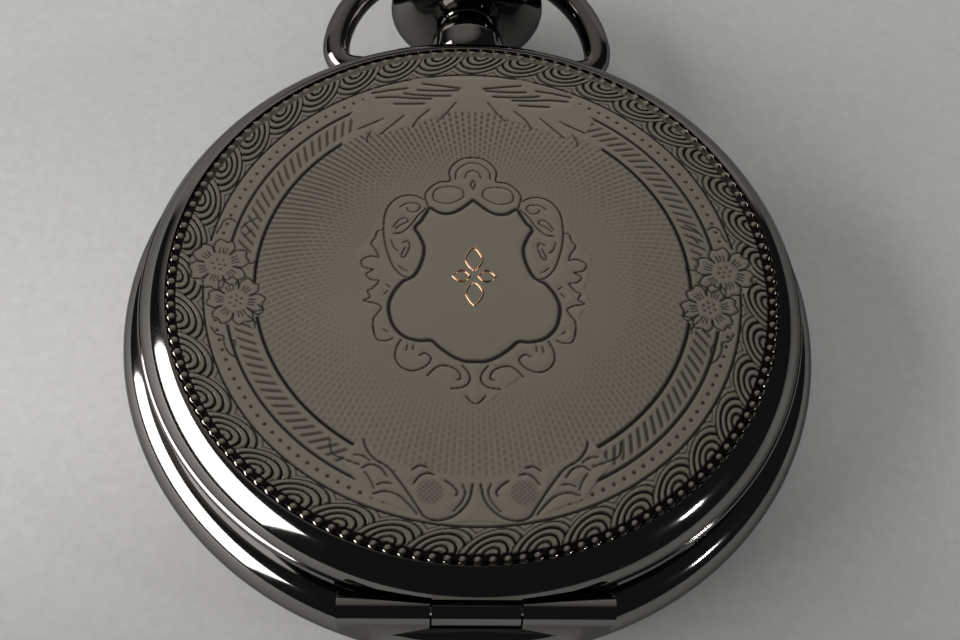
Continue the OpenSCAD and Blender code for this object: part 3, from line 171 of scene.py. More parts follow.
class WatchCase(bpy.types.PropertyGroup):
    """Sizes of the case, lid and hinge."""

    band_r: length("Band radius", "Largest radius of the band", 23.5)
    band_low: length("Band bottom", "Height of its lower edge", 3.25)
    band_high: length("Band top", "Height of its upper edge", 9.85)
    bulge: length("Bulge", "How far the bulge stands out", 1.55)
    bulge_r: length("Bulge section", "Radius of its section", 2.0)
    flange_r: length("Flange radius", "Radius of the lid's flange", 22.05)
    face_z: length("Face height", "Height of the engraved ground", 12.32)
    face_r: length("Face radius", "Radius where the shoulder begins", 20.15)
    hinge_y: length("Hinge distance", "Pin's distance from the middle", 21.6)
    hinge_z: length("Hinge height", "Height of the hinge pin", 9.4)
    hinge_len: length("Hinge length", "Length of the hinge", 16.6)
    knuckle_r: length("Knuckle radius", "Radius of the hinge's knuckles", 1.0)


class WatchLid(bpy.types.PropertyGroup):
    """Sizes of the lid's engraving."""

    beads: count("Beads", "Beads round the lid's edge", 138, 60)
    bead_ring: length("Bead ring", "Radius of the ring of beads", 19.68)
    bead_r: length("Bead radius", "Radius of one bead", 0.42)
    scallops: count("Scallops", "Scallops in the border", 39, 12)
    scallop_h: length("Scallop relief", "Height of the scallops' ridges", 0.11)
    line_1: length("Outer line", "Radius of the outer ring line", 17.62)
    line_2: length("Middle line", "Radius of the middle ring line", 16.22)
    line_3: length("Inner line", "Radius of the inner ring line", 14.3)
    dots: count("Dots", "Dots between the outer lines", 140, 40)
    hatches: count("Hatches", "Slanted strokes in the band", 144, 40)
    rays: count("Rays", "Dashed rays of the field", 200, 60)


class WatchPendant(bpy.types.PropertyGroup):
    """Sizes of the pendant, crown and bow."""

    axis_z: length("Stem height", "Height of the stem's axis", 6.1)
    ball_y: length("Ball distance", "Ball's distance from the middle", 25.0)
    ball_r: length("Ball radius", "Radius of the pendant's ball", 2.85)
    ball_tall: length("Ball middle", "Length of the ball's straight part", 0.5)
    neck_r: length("Neck radius", "Radius of the pendant's neck", 2.05)
    neck_y: length("Neck end", "Its distance from the middle", 28.4)
    crown_y: length("Crown foot", "Its distance from the middle", 28.0)
    crown_r: length("Crown radius", "Radius of the crown", 6.0)
    crown_len: length("Crown length", "Length of the crown", 4.6)
    flutes: count("Flutes", "Flutes round the crown", 36, 12)
    bow_ring: length("Bow ring", "Radius to the middle of its wire", 10.2)
    bow_wire: length("Bow wire", "Radius of the bow's wire", 1.05)
    bow_sag: length("Bow sag", "How far its ends sag below the pins", 2.1)
    bow_bar: length("Bow bar", "Radius of its wire at the pendant", 0.65)
    bow_drop: length("Bow drop", "How far its pins lie below the ball", 0.8)


class WatchDial(bpy.types.PropertyGroup):
    """Sizes of the dial, bezel and hands."""

    dial_r: length("Dial radius", "Radius of the dial", 18.6)
    dial_z: length("Dial top", "Height of the dial's face", 8.7)
    second_y: length("Seconds place", "Its distance below the middle", 8.0)
    numeral: length("Numeral height", "Height of the hour numerals", 2.9)


class WatchColours(bpy.types.PropertyGroup):
    """Colours of the finishes."""

    gunmetal: tone("Gunmetal", "Dark polished plating", (0.235, 0.228, 0.221))
    # Painted shade: the crown and bow get a darker copy of the case's plating, standing in for the
    # shade and dark reflections they take
    crown: tone("Crown", "Darker plating of the crown and bow", (0.17, 0.165, 0.16))
    face: tone("Face", "Satin plating of the engraved face", (0.42, 0.386, 0.345))
    groove: tone("Groove", "Bottom of an engraved line", (0.012, 0.011, 0.011))
    copper: tone("Copper", "Rose-gold line on the shield", (0.86, 0.55, 0.38))
    steel: tone("Steel", "Bright steel", (0.62, 0.62, 0.6))
    gilt: tone("Gilt", "Gilt brass", (0.78, 0.58, 0.26))
    blued: tone("Blued steel", "Heat-blued steel", (0.035, 0.07, 0.28))
    jewel: tone("Jewel", "Red bearing stone", (0.45, 0.02, 0.06))
    enamel: tone("Enamel", "White dial", (0.8, 0.79, 0.74))
    ink: tone("Ink", "Printing on the dial", (0.02, 0.02, 0.022))
    table: tone("Table", "Pale table", (0.6, 0.6, 0.59))


def case():
    return bpy.context.scene.watch_case


def colours():
    return bpy.context.scene.watch_colours


def mm(value):
    """A property's metres as millimetres."""
    return value / MM


def hinge():
    """Place of the hinge pin, half the hinge's length and the knuckles' radius."""
    c = case()
    return -mm(c.hinge_y), mm(c.hinge_z), mm(c.hinge_len) / 2, mm(c.knuckle_r)


# Modelling

def select_only(obj):
    bpy.ops.object.select_all(action="DESELECT")
    obj.select_set(True)
    bpy.context.view_layer.objects.active = obj


def set_points(obj, points):
    obj.data.vertices.foreach_set("co", np.asarray(points, np.float32).ravel())
    obj.data.update()


def get_points(obj):
    co = np.zeros(len(obj.data.vertices) * 3, np.float32)
    obj.data.vertices.foreach_get("co", co)
    return co.reshape(-1, 3).astype(float)


def modify(obj, kind, **settings):
    """Adds a modifier and applies it."""
    select_only(obj)
    modifier = obj.modifiers.new(kind.title(), kind)
    for key, value in settings.items():
        setattr(modifier, key, value)
    bpy.ops.object.modifier_apply(modifier=modifier.name)


def merge_doubles(obj, outward=False):
    """Merges doubles, and turns the normals out where asked."""
    select_only(obj)
    bpy.ops.object.mode_set(mode="EDIT")
    bpy.ops.mesh.select_all(action="SELECT")
    bpy.ops.mesh.remove_doubles(threshold=MERGE)
    if outward:
        bpy.ops.mesh.normals_make_consistent(inside=False)
    bpy.ops.object.mode_set(mode="OBJECT")


def clean(obj, angle=35.0):
    """Merges doubles, turns the normals out and smooths up to an angle."""
    merge_doubles(obj, outward=True)
    bpy.ops.object.shade_smooth_by_angle(angle=radians(angle))


def cut(obj, other, operation="DIFFERENCE"):
    """Cuts, joins or trims obj with another closed piece, which is used up."""
    modify(obj, "BOOLEAN", object=other, operation=operation, solver="EXACT")
    select_only(other)
    bpy.ops.object.delete()


def join(obj, *others):
    select_only(obj)
    for other in others:
        other.select_set(True)
    bpy.ops.object.join()
    return obj


def box_piece(half, y0, y1, z0, z1):
    """A box that reaches as far to the left as to the right."""
    bpy.ops.mesh.primitive_cube_add(size=1)
    obj = bpy.context.object
    low, high = np.array((-half, y0, z0)), np.array((half, y1, z1))
    set_points(obj, get_points(obj) * (high - low) + (low + high) / 2)
    return obj


def cylinder(r, tall, sides=288, at=(0, 0, 0)):
    """An upright round piece."""
    bpy.ops.mesh.primitive_cylinder_add(vertices=sides, radius=r, depth=tall, location=at)
    bpy.ops.object.transform_apply()
    return bpy.context.object


def rod_piece(r, x0, x1, y, z):
    """A round rod along X."""
    obj = cylinder(r, x1 - x0, 48)
    p = get_points(obj)
    set_points(obj, np.c_[p[:, 2] + (x0 + x1) / 2, p[:, 1] + y, -p[:, 0] + z])
    return obj


def arc(r, z, wide, tall, start, stop, steps, power=1.0):
    """Points (radius, height) along part of an oval, between two angles in degrees."""
    return [
        (r + wide * cos(a) ** power, z + tall * sin(a) ** power)
        for a in np.linspace(radians(start), radians(stop), steps)
    ]


def lathe(name, profile, steps=256):
    """A closed profile of (radius, height) points, turned once round Z."""
    bpy.ops.mesh.primitive_circle_add(vertices=len(profile), fill_type="NOTHING")
    obj = bpy.context.object
    obj.name = name
    profile = np.array(profile, float)
    set_points(obj, np.c_[profile[:, 0], np.zeros(len(profile)), profile[:, 1]])
    modify(obj, "SCREW", axis="Z", angle=tau, steps=steps, render_steps=steps,
           use_merge_vertices=True, merge_threshold=MERGE, use_smooth_shade=True)
    clean(obj)
    return obj


def wire(name, points, r, resolution, caps=False):
    """A round wire as a mesh; each point has x, y, z and its share of the radius."""
    curve = bpy.data.curves.new(name, "CURVE")
    curve.dimensions = "3D"
    curve.bevel_depth = r
    curve.bevel_resolution = resolution
    curve.use_fill_caps = caps
    spline = curve.splines.new("POLY")
    spline.points.add(len(points) - 1)
    for point, (x, y, z, share) in zip(spline.points, points):
        point.co = (x, y, z, 1)
        point.radius = share
    obj = bpy.data.objects.new(name, curve)
    bpy.context.scene.collection.objects.link(obj)
    select_only(obj)
    bpy.ops.object.convert(target="MESH")
    return bpy.context.object


def along_stem(obj, y):
    """Turns a lathed piece from Z to the stem's axis, its foot at y."""
    p = get_points(obj)
    z = mm(bpy.context.scene.watch_pendant.axis_z)
    set_points(obj, np.c_[p[:, 0], p[:, 2] + y, z - p[:, 1]])


def smooth_line(points, step):
    """Points along a smooth line through the given ones."""
    p = np.array(points, float)
    if len(p) == 2:
        n = max(2, int(np.linalg.norm(p[1] - p[0]) / step))
        return p[0] + (p[1] - p[0]) * np.linspace(0, 1, n)[:, None]
    ends = np.vstack([2 * p[0] - p[1], p, 2 * p[-1] - p[-2]])
    out = []
    for i in range(len(p) - 1):
        a, b, c, d = ends[i : i + 4]
        n = max(2, int(np.linalg.norm(c - b) / step))
        t = np.linspace(0, 1, n, endpoint=False)[:, None]
        out.append(0.5 * (2 * b + (c - a) * t + (2 * a - 5 * b + 4 * c - d) * t**2
                          + (3 * b - a - 3 * c + d) * t**3))
    return np.vstack(out + [p[-1:]])


def finished(obj, material, slot, body, *nodes):
    """Brings a piece to metres, paints and mounts it, and ends the operator."""
    obj.data.transform(Matrix.Scale(MM, 4))
    obj.data.materials.clear()
    obj.data.materials.append(material)
    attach(obj, body)
    if nodes:
        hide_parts(*nodes)
    return {"FINISHED"}


# Materials

class Net:
    """A node tree, with short ways to add and link its nodes."""

    def __init__(self, tree):
        self.nodes, self.links = tree.nodes, tree.links

    def fill(self, node, inputs):
        """Sets a node's inputs, each to a value or to another node's output."""
        for key, value in inputs.items():
            if isinstance(value, bpy.types.NodeSocket):
                self.links.new(value, node.inputs[key])
            else:
                node.inputs[key].default_value = value

    def add(self, kind, inputs=None, **settings):
        node = self.nodes.new(kind)
        for key, value in settings.items():
            setattr(node, key, value)
        self.fill(node, inputs or {})
        return node

    def mix(self, factor, dark, light):
        """Mixes two colours."""
        ends = {0: factor, 6: dark, 7: light}
        return self.add("ShaderNodeMix", ends, data_type="RGBA").outputs[2]

    def blend(self, factor, low, high):
        """Mixes two numbers."""
        return self.add("ShaderNodeMix", {0: factor, 2: low, 3: high}).outputs[0]

    def step(self, value, low, high, to=(0.0, 1.0), kind="SMOOTHSTEP"):
        """Brings a range of values to another range."""
        sockets = ("Value", "From Min", "From Max", "To Min", "To Max")
        inputs = dict(zip(sockets, (value, low, high, *to)))
        return self.add("ShaderNodeMapRange", inputs, interpolation_type=kind).outputs[0]

    def spread(self, noise, low, high):
        """Brings the usual range of a noise to a range of its own."""
        return self.step(noise, 0.3, 0.7, (low, high), "LINEAR")

    def ramp(self, factor, *stops, kind="LINEAR"):
        """Colours along a factor, each stop with its place and colour."""
        node = self.add("ShaderNodeValToRGB", {0: factor})
        node.color_ramp.interpolation = kind
        elements = node.color_ramp.elements
        for element, (place, colour) in zip(list(elements), (stops[0], stops[-1])):
            element.position, element.color = place, (*colour, 1)
        for place, colour in stops[1:-1]:
            elements.new(place).color = (*colour, 1)
        return node.outputs[0]

    def wear(self, scale):
        return self.add("ShaderNodeGroup", {"Scale": scale}, node_tree=wear_group()).outputs

    def bump(self, grain, strength):
        inputs = {"Strength": strength, "Distance": 0.02 * MM, "Height": grain}
        return self.add("ShaderNodeBump", inputs).outputs["Normal"]


def wear_group():
    """Shared wear of a surface: a slow mottle, a fine grain and faint rub marks."""
    group = bpy.data.node_groups.get("Wear")
    if group:
        return group
    group = bpy.data.node_groups.new("Wear", "ShaderNodeTree")
    group.interface.new_socket("Scale", in_out="INPUT", socket_type="NodeSocketFloat")
    for name in ("Mottle", "Grain", "Rub"):
        group.interface.new_socket(name, in_out="OUTPUT", socket_type="NodeSocketFloat")
    net = Net(group)
    inside, outside = net.add("NodeGroupInput"), net.add("NodeGroupOutput")
    where = net.add("ShaderNodeTexCoord").outputs["Object"]
    for name, factor, detail in (("Mottle", 0.35, 3.0), ("Grain", 9.0, 2.0), ("Rub", 2.0, 5.0)):
        times = net.add("ShaderNodeMath", {0: inside.outputs["Scale"], 1: factor},
                        operation="MULTIPLY")
        inputs = {"Scale": times.outputs[0], "Vector": where, "Detail": detail}
        net.fill(outside, {name: net.add("ShaderNodeTexNoise", inputs).outputs["Fac"]})
    return group


def new_material(name):
    material = bpy.data.materials.new(name)
    material.use_nodes = True
    net = Net(material.node_tree)
    return material, net, net.nodes["Principled BSDF"]


def shade(colour, factor=1.0):
    """A colour made lighter or darker, with its alpha."""
    return (*(min(1.0, c * factor) for c in colour), 1.0)


def surface(name, scale, dark, light, rough, bump=0.0, **values):
    """Finds or makes a finish that varies a little with its wear."""
    material = bpy.data.materials.get(name)
    if material:
        return material
    material, net, shader = new_material(name)
    wear = net.wear(scale)
    net.fill(shader, {
        "Base Color": net.mix(wear["Mottle"], dark, light),
        "Roughness": net.spread(wear["Rub"], *rough),
    })
    if bump:
        net.fill(shader, {"Normal": net.bump(wear["Grain"], bump)})
    net.fill(shader, {key.replace("_", " "): value for key, value in values.items()})
    return material


def metal(name, colour, rough, rim=1.0):
    """A polished metal, darker at grazing sight by its rim value."""
    dark, light = shade(colour, 0.88), shade(colour, 1.12)
    return surface(name, 300.0, dark, light, (rough * 0.75, rough * 1.3), bump=0.02,
                   Metallic=1.0, Specular_Tint=(rim, rim, rim, 1))


def enamel(name, colour, rough):
    """A smooth coat that is not metal."""
    dark, light = shade(colour, 0.95), shade(colour)
    return surface(name, 200.0, dark, light, (rough * 0.8, rough * 1.2))


def glass():
    """Clear glass with faint rub marks."""
    dark, light = shade((0.97, 0.98, 0.98)), shade((1.0, 1.0, 1.0))
    return surface("Glass", 150.0, dark, light, (0.0, 0.02), Transmission_Weight=1.0, IOR=1.45)


def gunmetal():
    return metal("Gunmetal", colours().gunmetal, PLATING_ROUGH, rim=PLATING_RIM)


def polished_steel():
    return metal("Polished steel", colours().steel, 0.12)


# Painted shade: a darker copy of the case's plating, for the crown and bow
def dark_plating():
    return metal("Plating with painted shade", colours().crown, PLATING_ROUGH, rim=PLATING_RIM)


def face_metal():
    """Satin plating, dark and rough where it is cut and where reflection round the beads is
    painted, polished where it shines.
    """
    cut_rough, shine_rough = 0.5, 0.1
    material, net, shader = new_material("Engraved gunmetal")
    wear, face = net.wear(260.0), colours().face
    ground = net.mix(wear["Mottle"], shade(face, 0.9), shade(face, 1.08))
    depth, shine = (
        net.add("ShaderNodeAttribute", attribute_name=kind).outputs["Fac"]
        for kind in ("cut", "shine")
    )
    rough = net.blend(depth, net.spread(wear["Rub"], 0.2, 0.28), cut_rough)
    net.fill(shader, {
        "Metallic": 1.0,
        "Base Color": net.mix(depth, ground, shade(colours().groove)),
        "Roughness": net.blend(shine, rough, shine_rough),
        "Normal": net.bump(wear["Grain"], 0.05),
    })
    return material


# The lid's engraving

def ease(value, low, high):
    t = np.clip((value - low) / (high - low), 0, 1)
    return t * t * (3 - 2 * t)


def line_mask(distance, width):
    """1 in the middle of a line, 0 outside it."""
    return 1 - ease(np.abs(distance), width * 0.25, width * 0.75)


def left_half(steps):
    """Points, in millimetres, that the steps lead to."""
    return np.cumsum(np.reshape(steps, (-1, 2)), axis=0) / (-100, 100)


def inside(outline, x, y):
    """Which points lie inside an outline given by its left half."""
    half = left_half(outline)
    poly = np.vstack([half, half[::-1] * (-1, 1)])
    hit = np.zeros(x.shape, bool)
    for (x0, y0), (x1, y1) in zip(poly, np.roll(poly, -1, axis=0)):
        if y0 == y1:
            continue
        crosses = (y0 > y) != (y1 > y)
        hit ^= crosses & (x < (x1 - x0) * (y - y0) / (y1 - y0) + x0)
    return hit


def flower_strokes(cx, cy, size, turn):
    """Petal outlines, veins and stamen dots of one flower."""
    strokes = []
    petals = 6

    def at(angle, r):
        a = radians(angle)
        return (cx + size * r * cos(a), cy + size * r * sin(a))

    for i in range(petals):
        a = turn + 360 / petals * i
        strokes.append((0.13, (at(a - 29, 0.5), at(a - 27, 0.8), at(a - 14, 1.0), at(a - 3, 0.93),
                               at(a + 12, 1.02), at(a + 26, 0.8), at(a + 29, 0.5))))
        for side in (-12, 0, 12):
            strokes.append((0.1, (at(a + side, 0.45), at(a + side * 0.9, 0.68))))
        strokes.append((0.14, (at(a + 30, 0.2), at(a + 30, 0.23))))
    strokes.append((0.14, (at(0, 0.0), at(0, 0.03))))
    return strokes


def stroke_tree():
    """Points along all strokes, both halves, with the width of each."""
    strokes = [(width / 100, left_half(steps)) for width, *steps in STROKES]
    for flower in FLOWERS:
        strokes += flower_strokes(*flower)
    points, widths = [], []
    for width, path in strokes:
        p = smooth_line(path, 0.03)
        points += [p, p * (-1, 1)]
        widths += [np.full(2 * len(p), width if width > BOLD else THIN * width)]
    points = np.vstack(points)
    tree = kdtree.KDTree(len(points))
    for i, (x, y) in enumerate(points):
        tree.insert((x, y, 0), i)
    tree.balance()
    return tree, np.concatenate(widths)


def across_part(angle, parts, r):
    """Distance at radius r from the middle of the nearest equal part of a turn."""
    turns = angle / tau * parts
    return (turns - np.floor(turns) - 0.5) * tau * r / parts


def scallop_border(lid, r, theta):
    """Height and cut of the overlapping scallops of nested arcs."""
    wide, tall, lean, rings = 1.95, 1.62, 0.5, 4
    gap_rings, gap_reach = 6.5, 1.5
    base = mm(lid.bead_ring) - 0.34
    pitch = tau * base / lid.scallops
    turns = theta / tau * lid.scallops
    v = base - r
    height = dark = np.zeros(r.shape)
    left, nearest = np.ones(r.shape, bool), np.full(r.shape, 9.0)
    for step in (2, 1, 0, -1, -2):
        x = (turns - np.floor(turns) - step - 0.5) * pitch - lean * v
        d = np.hypot(x / wide, v / tall)
        take = left & (d < 1)
        phase = (1 - d) * rings
        wave = np.abs(phase - np.round(phase))
        core = d < 1.0 / rings
        crest = np.clip(2 * np.sin(pi * np.clip(phase % 1, 0, 1)), 0, 1)
        ridge = np.where(core, 0.9, crest)
        height = np.where(take, mm(lid.scallop_h) * (ridge - 0.6), height)
        dark = np.where(take, np.maximum(0.1, 1 - ease(wave, 0.12, 0.34)), dark)
        left &= ~take
        nearest = np.where(left, np.minimum(nearest, d), nearest)
    # Finer arcs fill the gaps between the scallops
    phase = (nearest - 1) * gap_rings
    wave = np.abs(phase - np.round(phase))
    dark = np.where(left, 0.75 * (1 - ease(wave, 0.1, 0.28)) * (nearest < gap_reach), dark)
    return height, dark


def field_rays(lid, x, y, r, theta):
    """Mask and darkness of the field's dashed rays."""
    dash, width = 0.5, 0.17
    bend, bend_r, deep_side = 0.027, 12, radians(150)
    # The rays are bent a little, to lie flatter at the sides
    bent = theta + bend * np.cos(theta) * (r - bend_r)
    odd = np.floor(bent / tau * lid.rays) % 2
    along = (r / dash + 0.5 * odd) % 1
    solid = ease(0.5 - np.abs(along - 0.5), 0.08, 0.2)
    # They run together on one side, and are darker there and at the top
    deep = np.clip(np.cos(theta - deep_side), 0, 1) ** 5
    solid = solid + (1 - solid) * deep * ease(r, 10.6, 12.4)
    above = ease(y, 4.0, 9.0) * (1 - 0.65 * ease(x, 0.0, 6.0))
    fade = 0.25 + 0.75 * ease(r, 8.0, 13.0)
    mask = line_mask(across_part(bent, lid.rays, r), width) * solid * fade
    return mask, 0.26 + 0.36 * np.maximum(deep, above)


def ring_marks(lid, x, y, r, theta):
    """Darkness of the ring lines, and of the slanted strokes and dots between them."""
    one, two, three = mm(lid.line_1), mm(lid.line_2), mm(lid.line_3)
    lean, band_r = radians(38), 15.3
    slant = theta - tan(lean) * (band_r - r) / band_r
    across = across_part(slant, lid.hatches, r) * 0.79
    hatch = line_mask(across, 0.2) * ease(r, 14.7, 14.85) * (1 - ease(r, 15.75, 15.95))
    hatch = hatch * ((y < 0) | (np.abs(x) > 7.5))
    across = across_part(theta, lid.dots, r)
    spot = 1 - ease(np.hypot(across, r - (one + two) / 2), 0.07, 0.16)
    inner = line_mask(r - three, 0.24) * (np.abs(x) > np.where(y > 0, 9.0, 7.4))
    rings = np.maximum.reduce([line_mask(r - one, 0.21), line_mask(r - two, 0.2), inner])
    return np.maximum.reduce([0.7 * hatch, 0.9 * spot, 0.97 * rings])


def add_beads(lid, r, theta, height, dark):
    """Lays the ring of beads in its channel over what is engraved so far, with painted reflection
    darkening the channel.
    """
    edge, bead_r = mm(lid.bead_ring), mm(lid.bead_r)
    flat, sunk, drop = 0.8, 0.3, 0.12
    away = np.hypot(across_part(theta, lid.beads, edge), r - edge)
    bead = np.sqrt(np.clip(bead_r**2 - away**2, 0, None)) * flat
    channel = ease(r, edge - 0.38, edge - 0.28)
    ledge = -0.02 - 0.28 * ease(r, edge + 0.15, edge + 0.3)
    height = height * (1 - channel) + channel * np.maximum(bead - sunk, ledge)
    height = height - drop * ease(r, edge + 0.36, edge + 0.5)
    # Painted reflection: the bed between the beads is painted dark like a mirrored dark room,
    # darkest at the near side of the lid and lighter towards the far side like a mirrored grey
    # ceiling; the beads are painted a little darker too
    near = 0.5 - 0.5 * np.sin(theta)
    painted_bed_shade = 0.55 + 0.45 * ease(near, 0.05, 0.4)
    bed = ease(ledge - bead, -0.33, -0.3)
    cover = ease(r, edge - 0.38, edge - 0.3)
    dark = dark * (1 - cover) + cover * (0.2 * (1 - bed) + painted_bed_shade * bed)
    return height, dark, cover * (away < bead_r)


def relief(x, y, tree, widths):
    """Height, darkness of the cut with the painted reflection round the beads, and shine, at points
    of the lid.
    """
    ray_depth, mark_depth, stroke_depth, swell = 0.009, 0.035, 0.028, 0.014
    lid = bpy.context.scene.watch_lid
    r, theta = np.hypot(x, y), np.arctan2(y, x)
    edge = mm(lid.bead_ring)
    cartouche = inside(CARTOUCHE, x, y)
    plain = inside(FEATHER, x, y) | inside(RIBBON, x, y)
    for cx, cy, size, _ in FLOWERS:
        plain |= np.hypot(np.abs(x) + cx, y - cy) < size * 0.99

    # Field and bands
    rays, ink = field_rays(lid, x, y, r, theta)
    rays = np.where((r < mm(lid.line_3) - 0.1) & ~cartouche & ~plain, rays, 0)
    marks = np.where(plain, 0, ring_marks(lid, x, y, r, theta))
    dark = np.maximum(ink * rays, marks)
    height = -ray_depth * rays - mark_depth * marks

    # Border and beads
    border = (r > mm(lid.line_1) + 0.06) & (r < edge - 0.26) & ~plain
    ridge, groove = scallop_border(lid, r, theta)
    height, dark = np.where(border, ridge, height), np.where(border, groove, dark)
    height, dark, shine = add_beads(lid, r, theta, height, dark)

    # Cross-hatched volutes
    pitch, volute_x, volute_y = 0.34, 2.85, -15.3
    weave = np.maximum(*(line_mask((d / pitch) % 1 - 0.5, 0.4) for d in (x + y, x - y)))
    volute = 1 - ease(np.hypot(np.abs(x) - volute_x, y - volute_y), 0.7, 0.95)
    dark = np.maximum(dark, 0.4 * weave * volute)

    # Drawn strokes, between which the motifs swell a little
    found = np.array([tree.find((px, py, 0))[1:] for px, py in zip(x, y)])
    away, width = found[:, 1], widths[found[:, 0].astype(int)]
    stroke = 1 - ease(away, width * 0.3, width * 0.8)
    dark = np.maximum(dark, 0.92 * stroke)
    height = height - stroke_depth * stroke
    motif = (plain | cartouche) & (r < edge - 0.5)
    height = height + np.where(motif, swell * ease(away, 0.1, 0.5), 0)
    return height, dark, shine


def engrave(obj, tree, widths):
    """Gives a piece the engraving's heights, cuts with the painted reflection round the beads, and
    shine.
    """
    p = get_points(obj)
    height, dark, shine = relief(p[:, 0], p[:, 1], tree, widths)
    p[:, 2] = mm(case().face_z) + height
    set_points(obj, p)
    for name, values in (("cut", dark), ("shine", shine)):
        attribute = obj.data.attributes.new(name, "FLOAT", "POINT")
        attribute.data.foreach_set("value", np.clip(values, 0, 1).astype(np.float32))
    select_only(obj)
    bpy.ops.object.shade_smooth()


def grid(name, columns, rows):
    """A flat grid of small faces, from -1 to 1 both ways, and its points."""
    bpy.ops.mesh.primitive_grid_add(x_subdivisions=columns, y_subdivisions=rows, size=2)
    obj = bpy.context.object
    obj.name = name
    p = get_points(obj)
    return obj, p[:, 0], p[:, 1]


def ring_sheet(name, r0, r1, around, across):
    """A flat ring, made from a grid that is rolled round the middle."""
    obj, u, v = grid(name, around, across)
    r, a = r0 + (r1 - r0) * (v + 1) / 2, -pi * u
    set_points(obj, np.c_[r * np.cos(a), r * np.sin(a), 0 * r])
    merge_doubles(obj)
    return obj


def disc_sheet(name, r, cells):
    """A flat disc, made from a grid whose edge is rounded."""
    obj, u, v = grid(name, cells, cells)
    set_points(obj, np.c_[r * u * np.sqrt(1 - v**2 / 2), r * v * np.sqrt(1 - u**2 / 2), 0 * u])
    return obj


class WATCH_OT_lid_face(bpy.types.Operator):
    """Engraved face of the lid: border, bands, field and shield"""

    bl_idname = "watch.lid_face"
    bl_label = "Lid face"

    def execute(self, context):
        lid = context.scene.watch_lid
        tree, widths = stroke_tree()
        outer, inner = mm(lid.line_1) - 0.3, mm(lid.line_3) - 0.3
        middle, plating = 10.35, face_metal()
        pieces = (
            ring_sheet("lid_border", outer, mm(lid.bead_ring) + 0.52, 1656, 38),
            ring_sheet("lid_bands", inner, outer, 1296, 42),
            ring_sheet("lid_field", middle, inner, 1080, 46),
            disc_sheet("lid_shield", middle, 290),
        )
        for piece in pieces:
            engrave(piece, tree, widths)
            finished(piece, plating, "gunmetal", "lid", "front_cover")
        return {"FINISHED"}


class WATCH_OT_lid_ornament(bpy.types.Operator):
    """Small rose-gold line ornament on the shield"""

    bl_idname = "watch.lid_ornament"
    bl_label = "Lid ornament"

    def execute(self, context):
        thick, rise, z = 0.07, 0.3, mm(case().face_z) + 0.03
        quarter = ((0, 0.45), (0.35, 0.8), (0.55, 1.35), (0.3, 1.95), (0, 2.3))
        pieces = []
        for sx in (-1, 1):
            for sy in (-1, 1):
                for line in ([(sx * x, sy * y) for x, y in quarter],
                             [(sx * y * 0.62, sy * x * 0.8) for x, y in quarter]):
                    path = [(x, y + rise, z, 1) for x, y in smooth_line(line, 0.08)]
                    pieces.append(wire("lid_ornament", path, thick, 2))
        obj = join(*pieces)
        obj.name = "lid_ornament"
        clean(obj)
        return finished(obj, metal("Rose gold", colours().copper, 0.2), "gilt", "lid")


class WATCH_OT_lid_shell(bpy.types.Operator):
    """Lid's rounded shoulder, flange, inside and hinge knuckle"""

    bl_idname = "watch.lid_shell"
    bl_label = "Lid shell"

    def execute(self, context):
        c = case()
        face, flange = mm(c.face_r), mm(c.flange_r)
        shoulder = arc(face - 0.1, 10.7, 1.75, 1.66, 88, 0, 32, power=1.4)
        lip = ((0.23, 10.62), (0.18, 10.57), (0.11, 10.54), (0.04, 10.47), (0, 10.36), (0, 10.1),
               (0.08, 10.01), (0.2, 10.0))
        profile = [(0.001, 11.6), (0.001, 12.05), (face - 0.12, 12.05)] + shoulder
        profile += [(flange - inset, z) for inset, z in lip]
        profile += [(20.95, 10.0), (20.95, 10.8), (20.6, 11.3), (19.95, 11.6)]
        obj = lathe("lid_shell", profile, 288)
        y, z, half, knuckle_r = hinge()
        reach, third = half + 0.15, half / 3 - 0.12
        cut(obj, box_piece(reach, -24, y + 1.3, 9.9, 10.55))
        cut(obj, rod_piece(1.6, -reach, reach, y, z))
        knuckle = rod_piece(knuckle_r, -third, third, y, z)
        tab = box_piece(third, y - 0.1, y + 0.9, z, 11.2)
        join(obj, knuckle, tab)
        clean(obj)
        return finished(obj, gunmetal(), "gunmetal", "lid", "front_cover")


class WATCH_OT_band(bpy.types.Operator):
    """Bulged case band with its shelf, gutter and outer hinge knuckles"""

    bl_idname = "watch.band"
    bl_label = "Case band"

    def execute(self, context):
        c = case()
        low, high, r = mm(c.band_low), mm(c.band_high), mm(c.band_r)
        middle, round_r, wall = (low + high) / 2, mm(c.bulge_r), r - mm(c.bulge)
        above = 12.4
        swell = degrees(acos(1 - mm(c.bulge) / round_r))
        outer = arc(r - round_r, middle, round_r, round_r, -swell, swell, 37)
        profile = [(wall - 0.06, low), (wall, low + 0.06)] + outer + [
            (wall, high - 0.06), (wall - 0.06, high), (21.35, high), (21.35, 8.4), (19.6, 8.4),
            (19.6, 6.9), (18.5, 6.9), (18.5, 6.2), (20.4, 6.2), (20.4, low),
        ]
        obj = lathe("band", profile, 288)
        y, z, half, k = hinge()
        third, room = half / 3, k + 0.15
        block = box_piece(half, y - k, -16.0, middle, z)
        cut(block, cylinder(r, 40), "INTERSECT")
        cut(block, cylinder(wall - 0.2, 40))
        cut(obj, block, "UNION")
        cut(obj, rod_piece(room, -third, third, y, z))
        cut(obj, box_piece(third, -r - 1, y + k + 0.15, z, above))
        # Window for the lid's catch
        cut(obj, box_piece(2.1, 19.3, 21.8, 4.75, above))
        join(obj, rod_piece(k, third, half, y, z), rod_piece(k, -half, -third, y, z))
        clean(obj)
        return finished(obj, gunmetal(), "gunmetal", "case", "case_band")


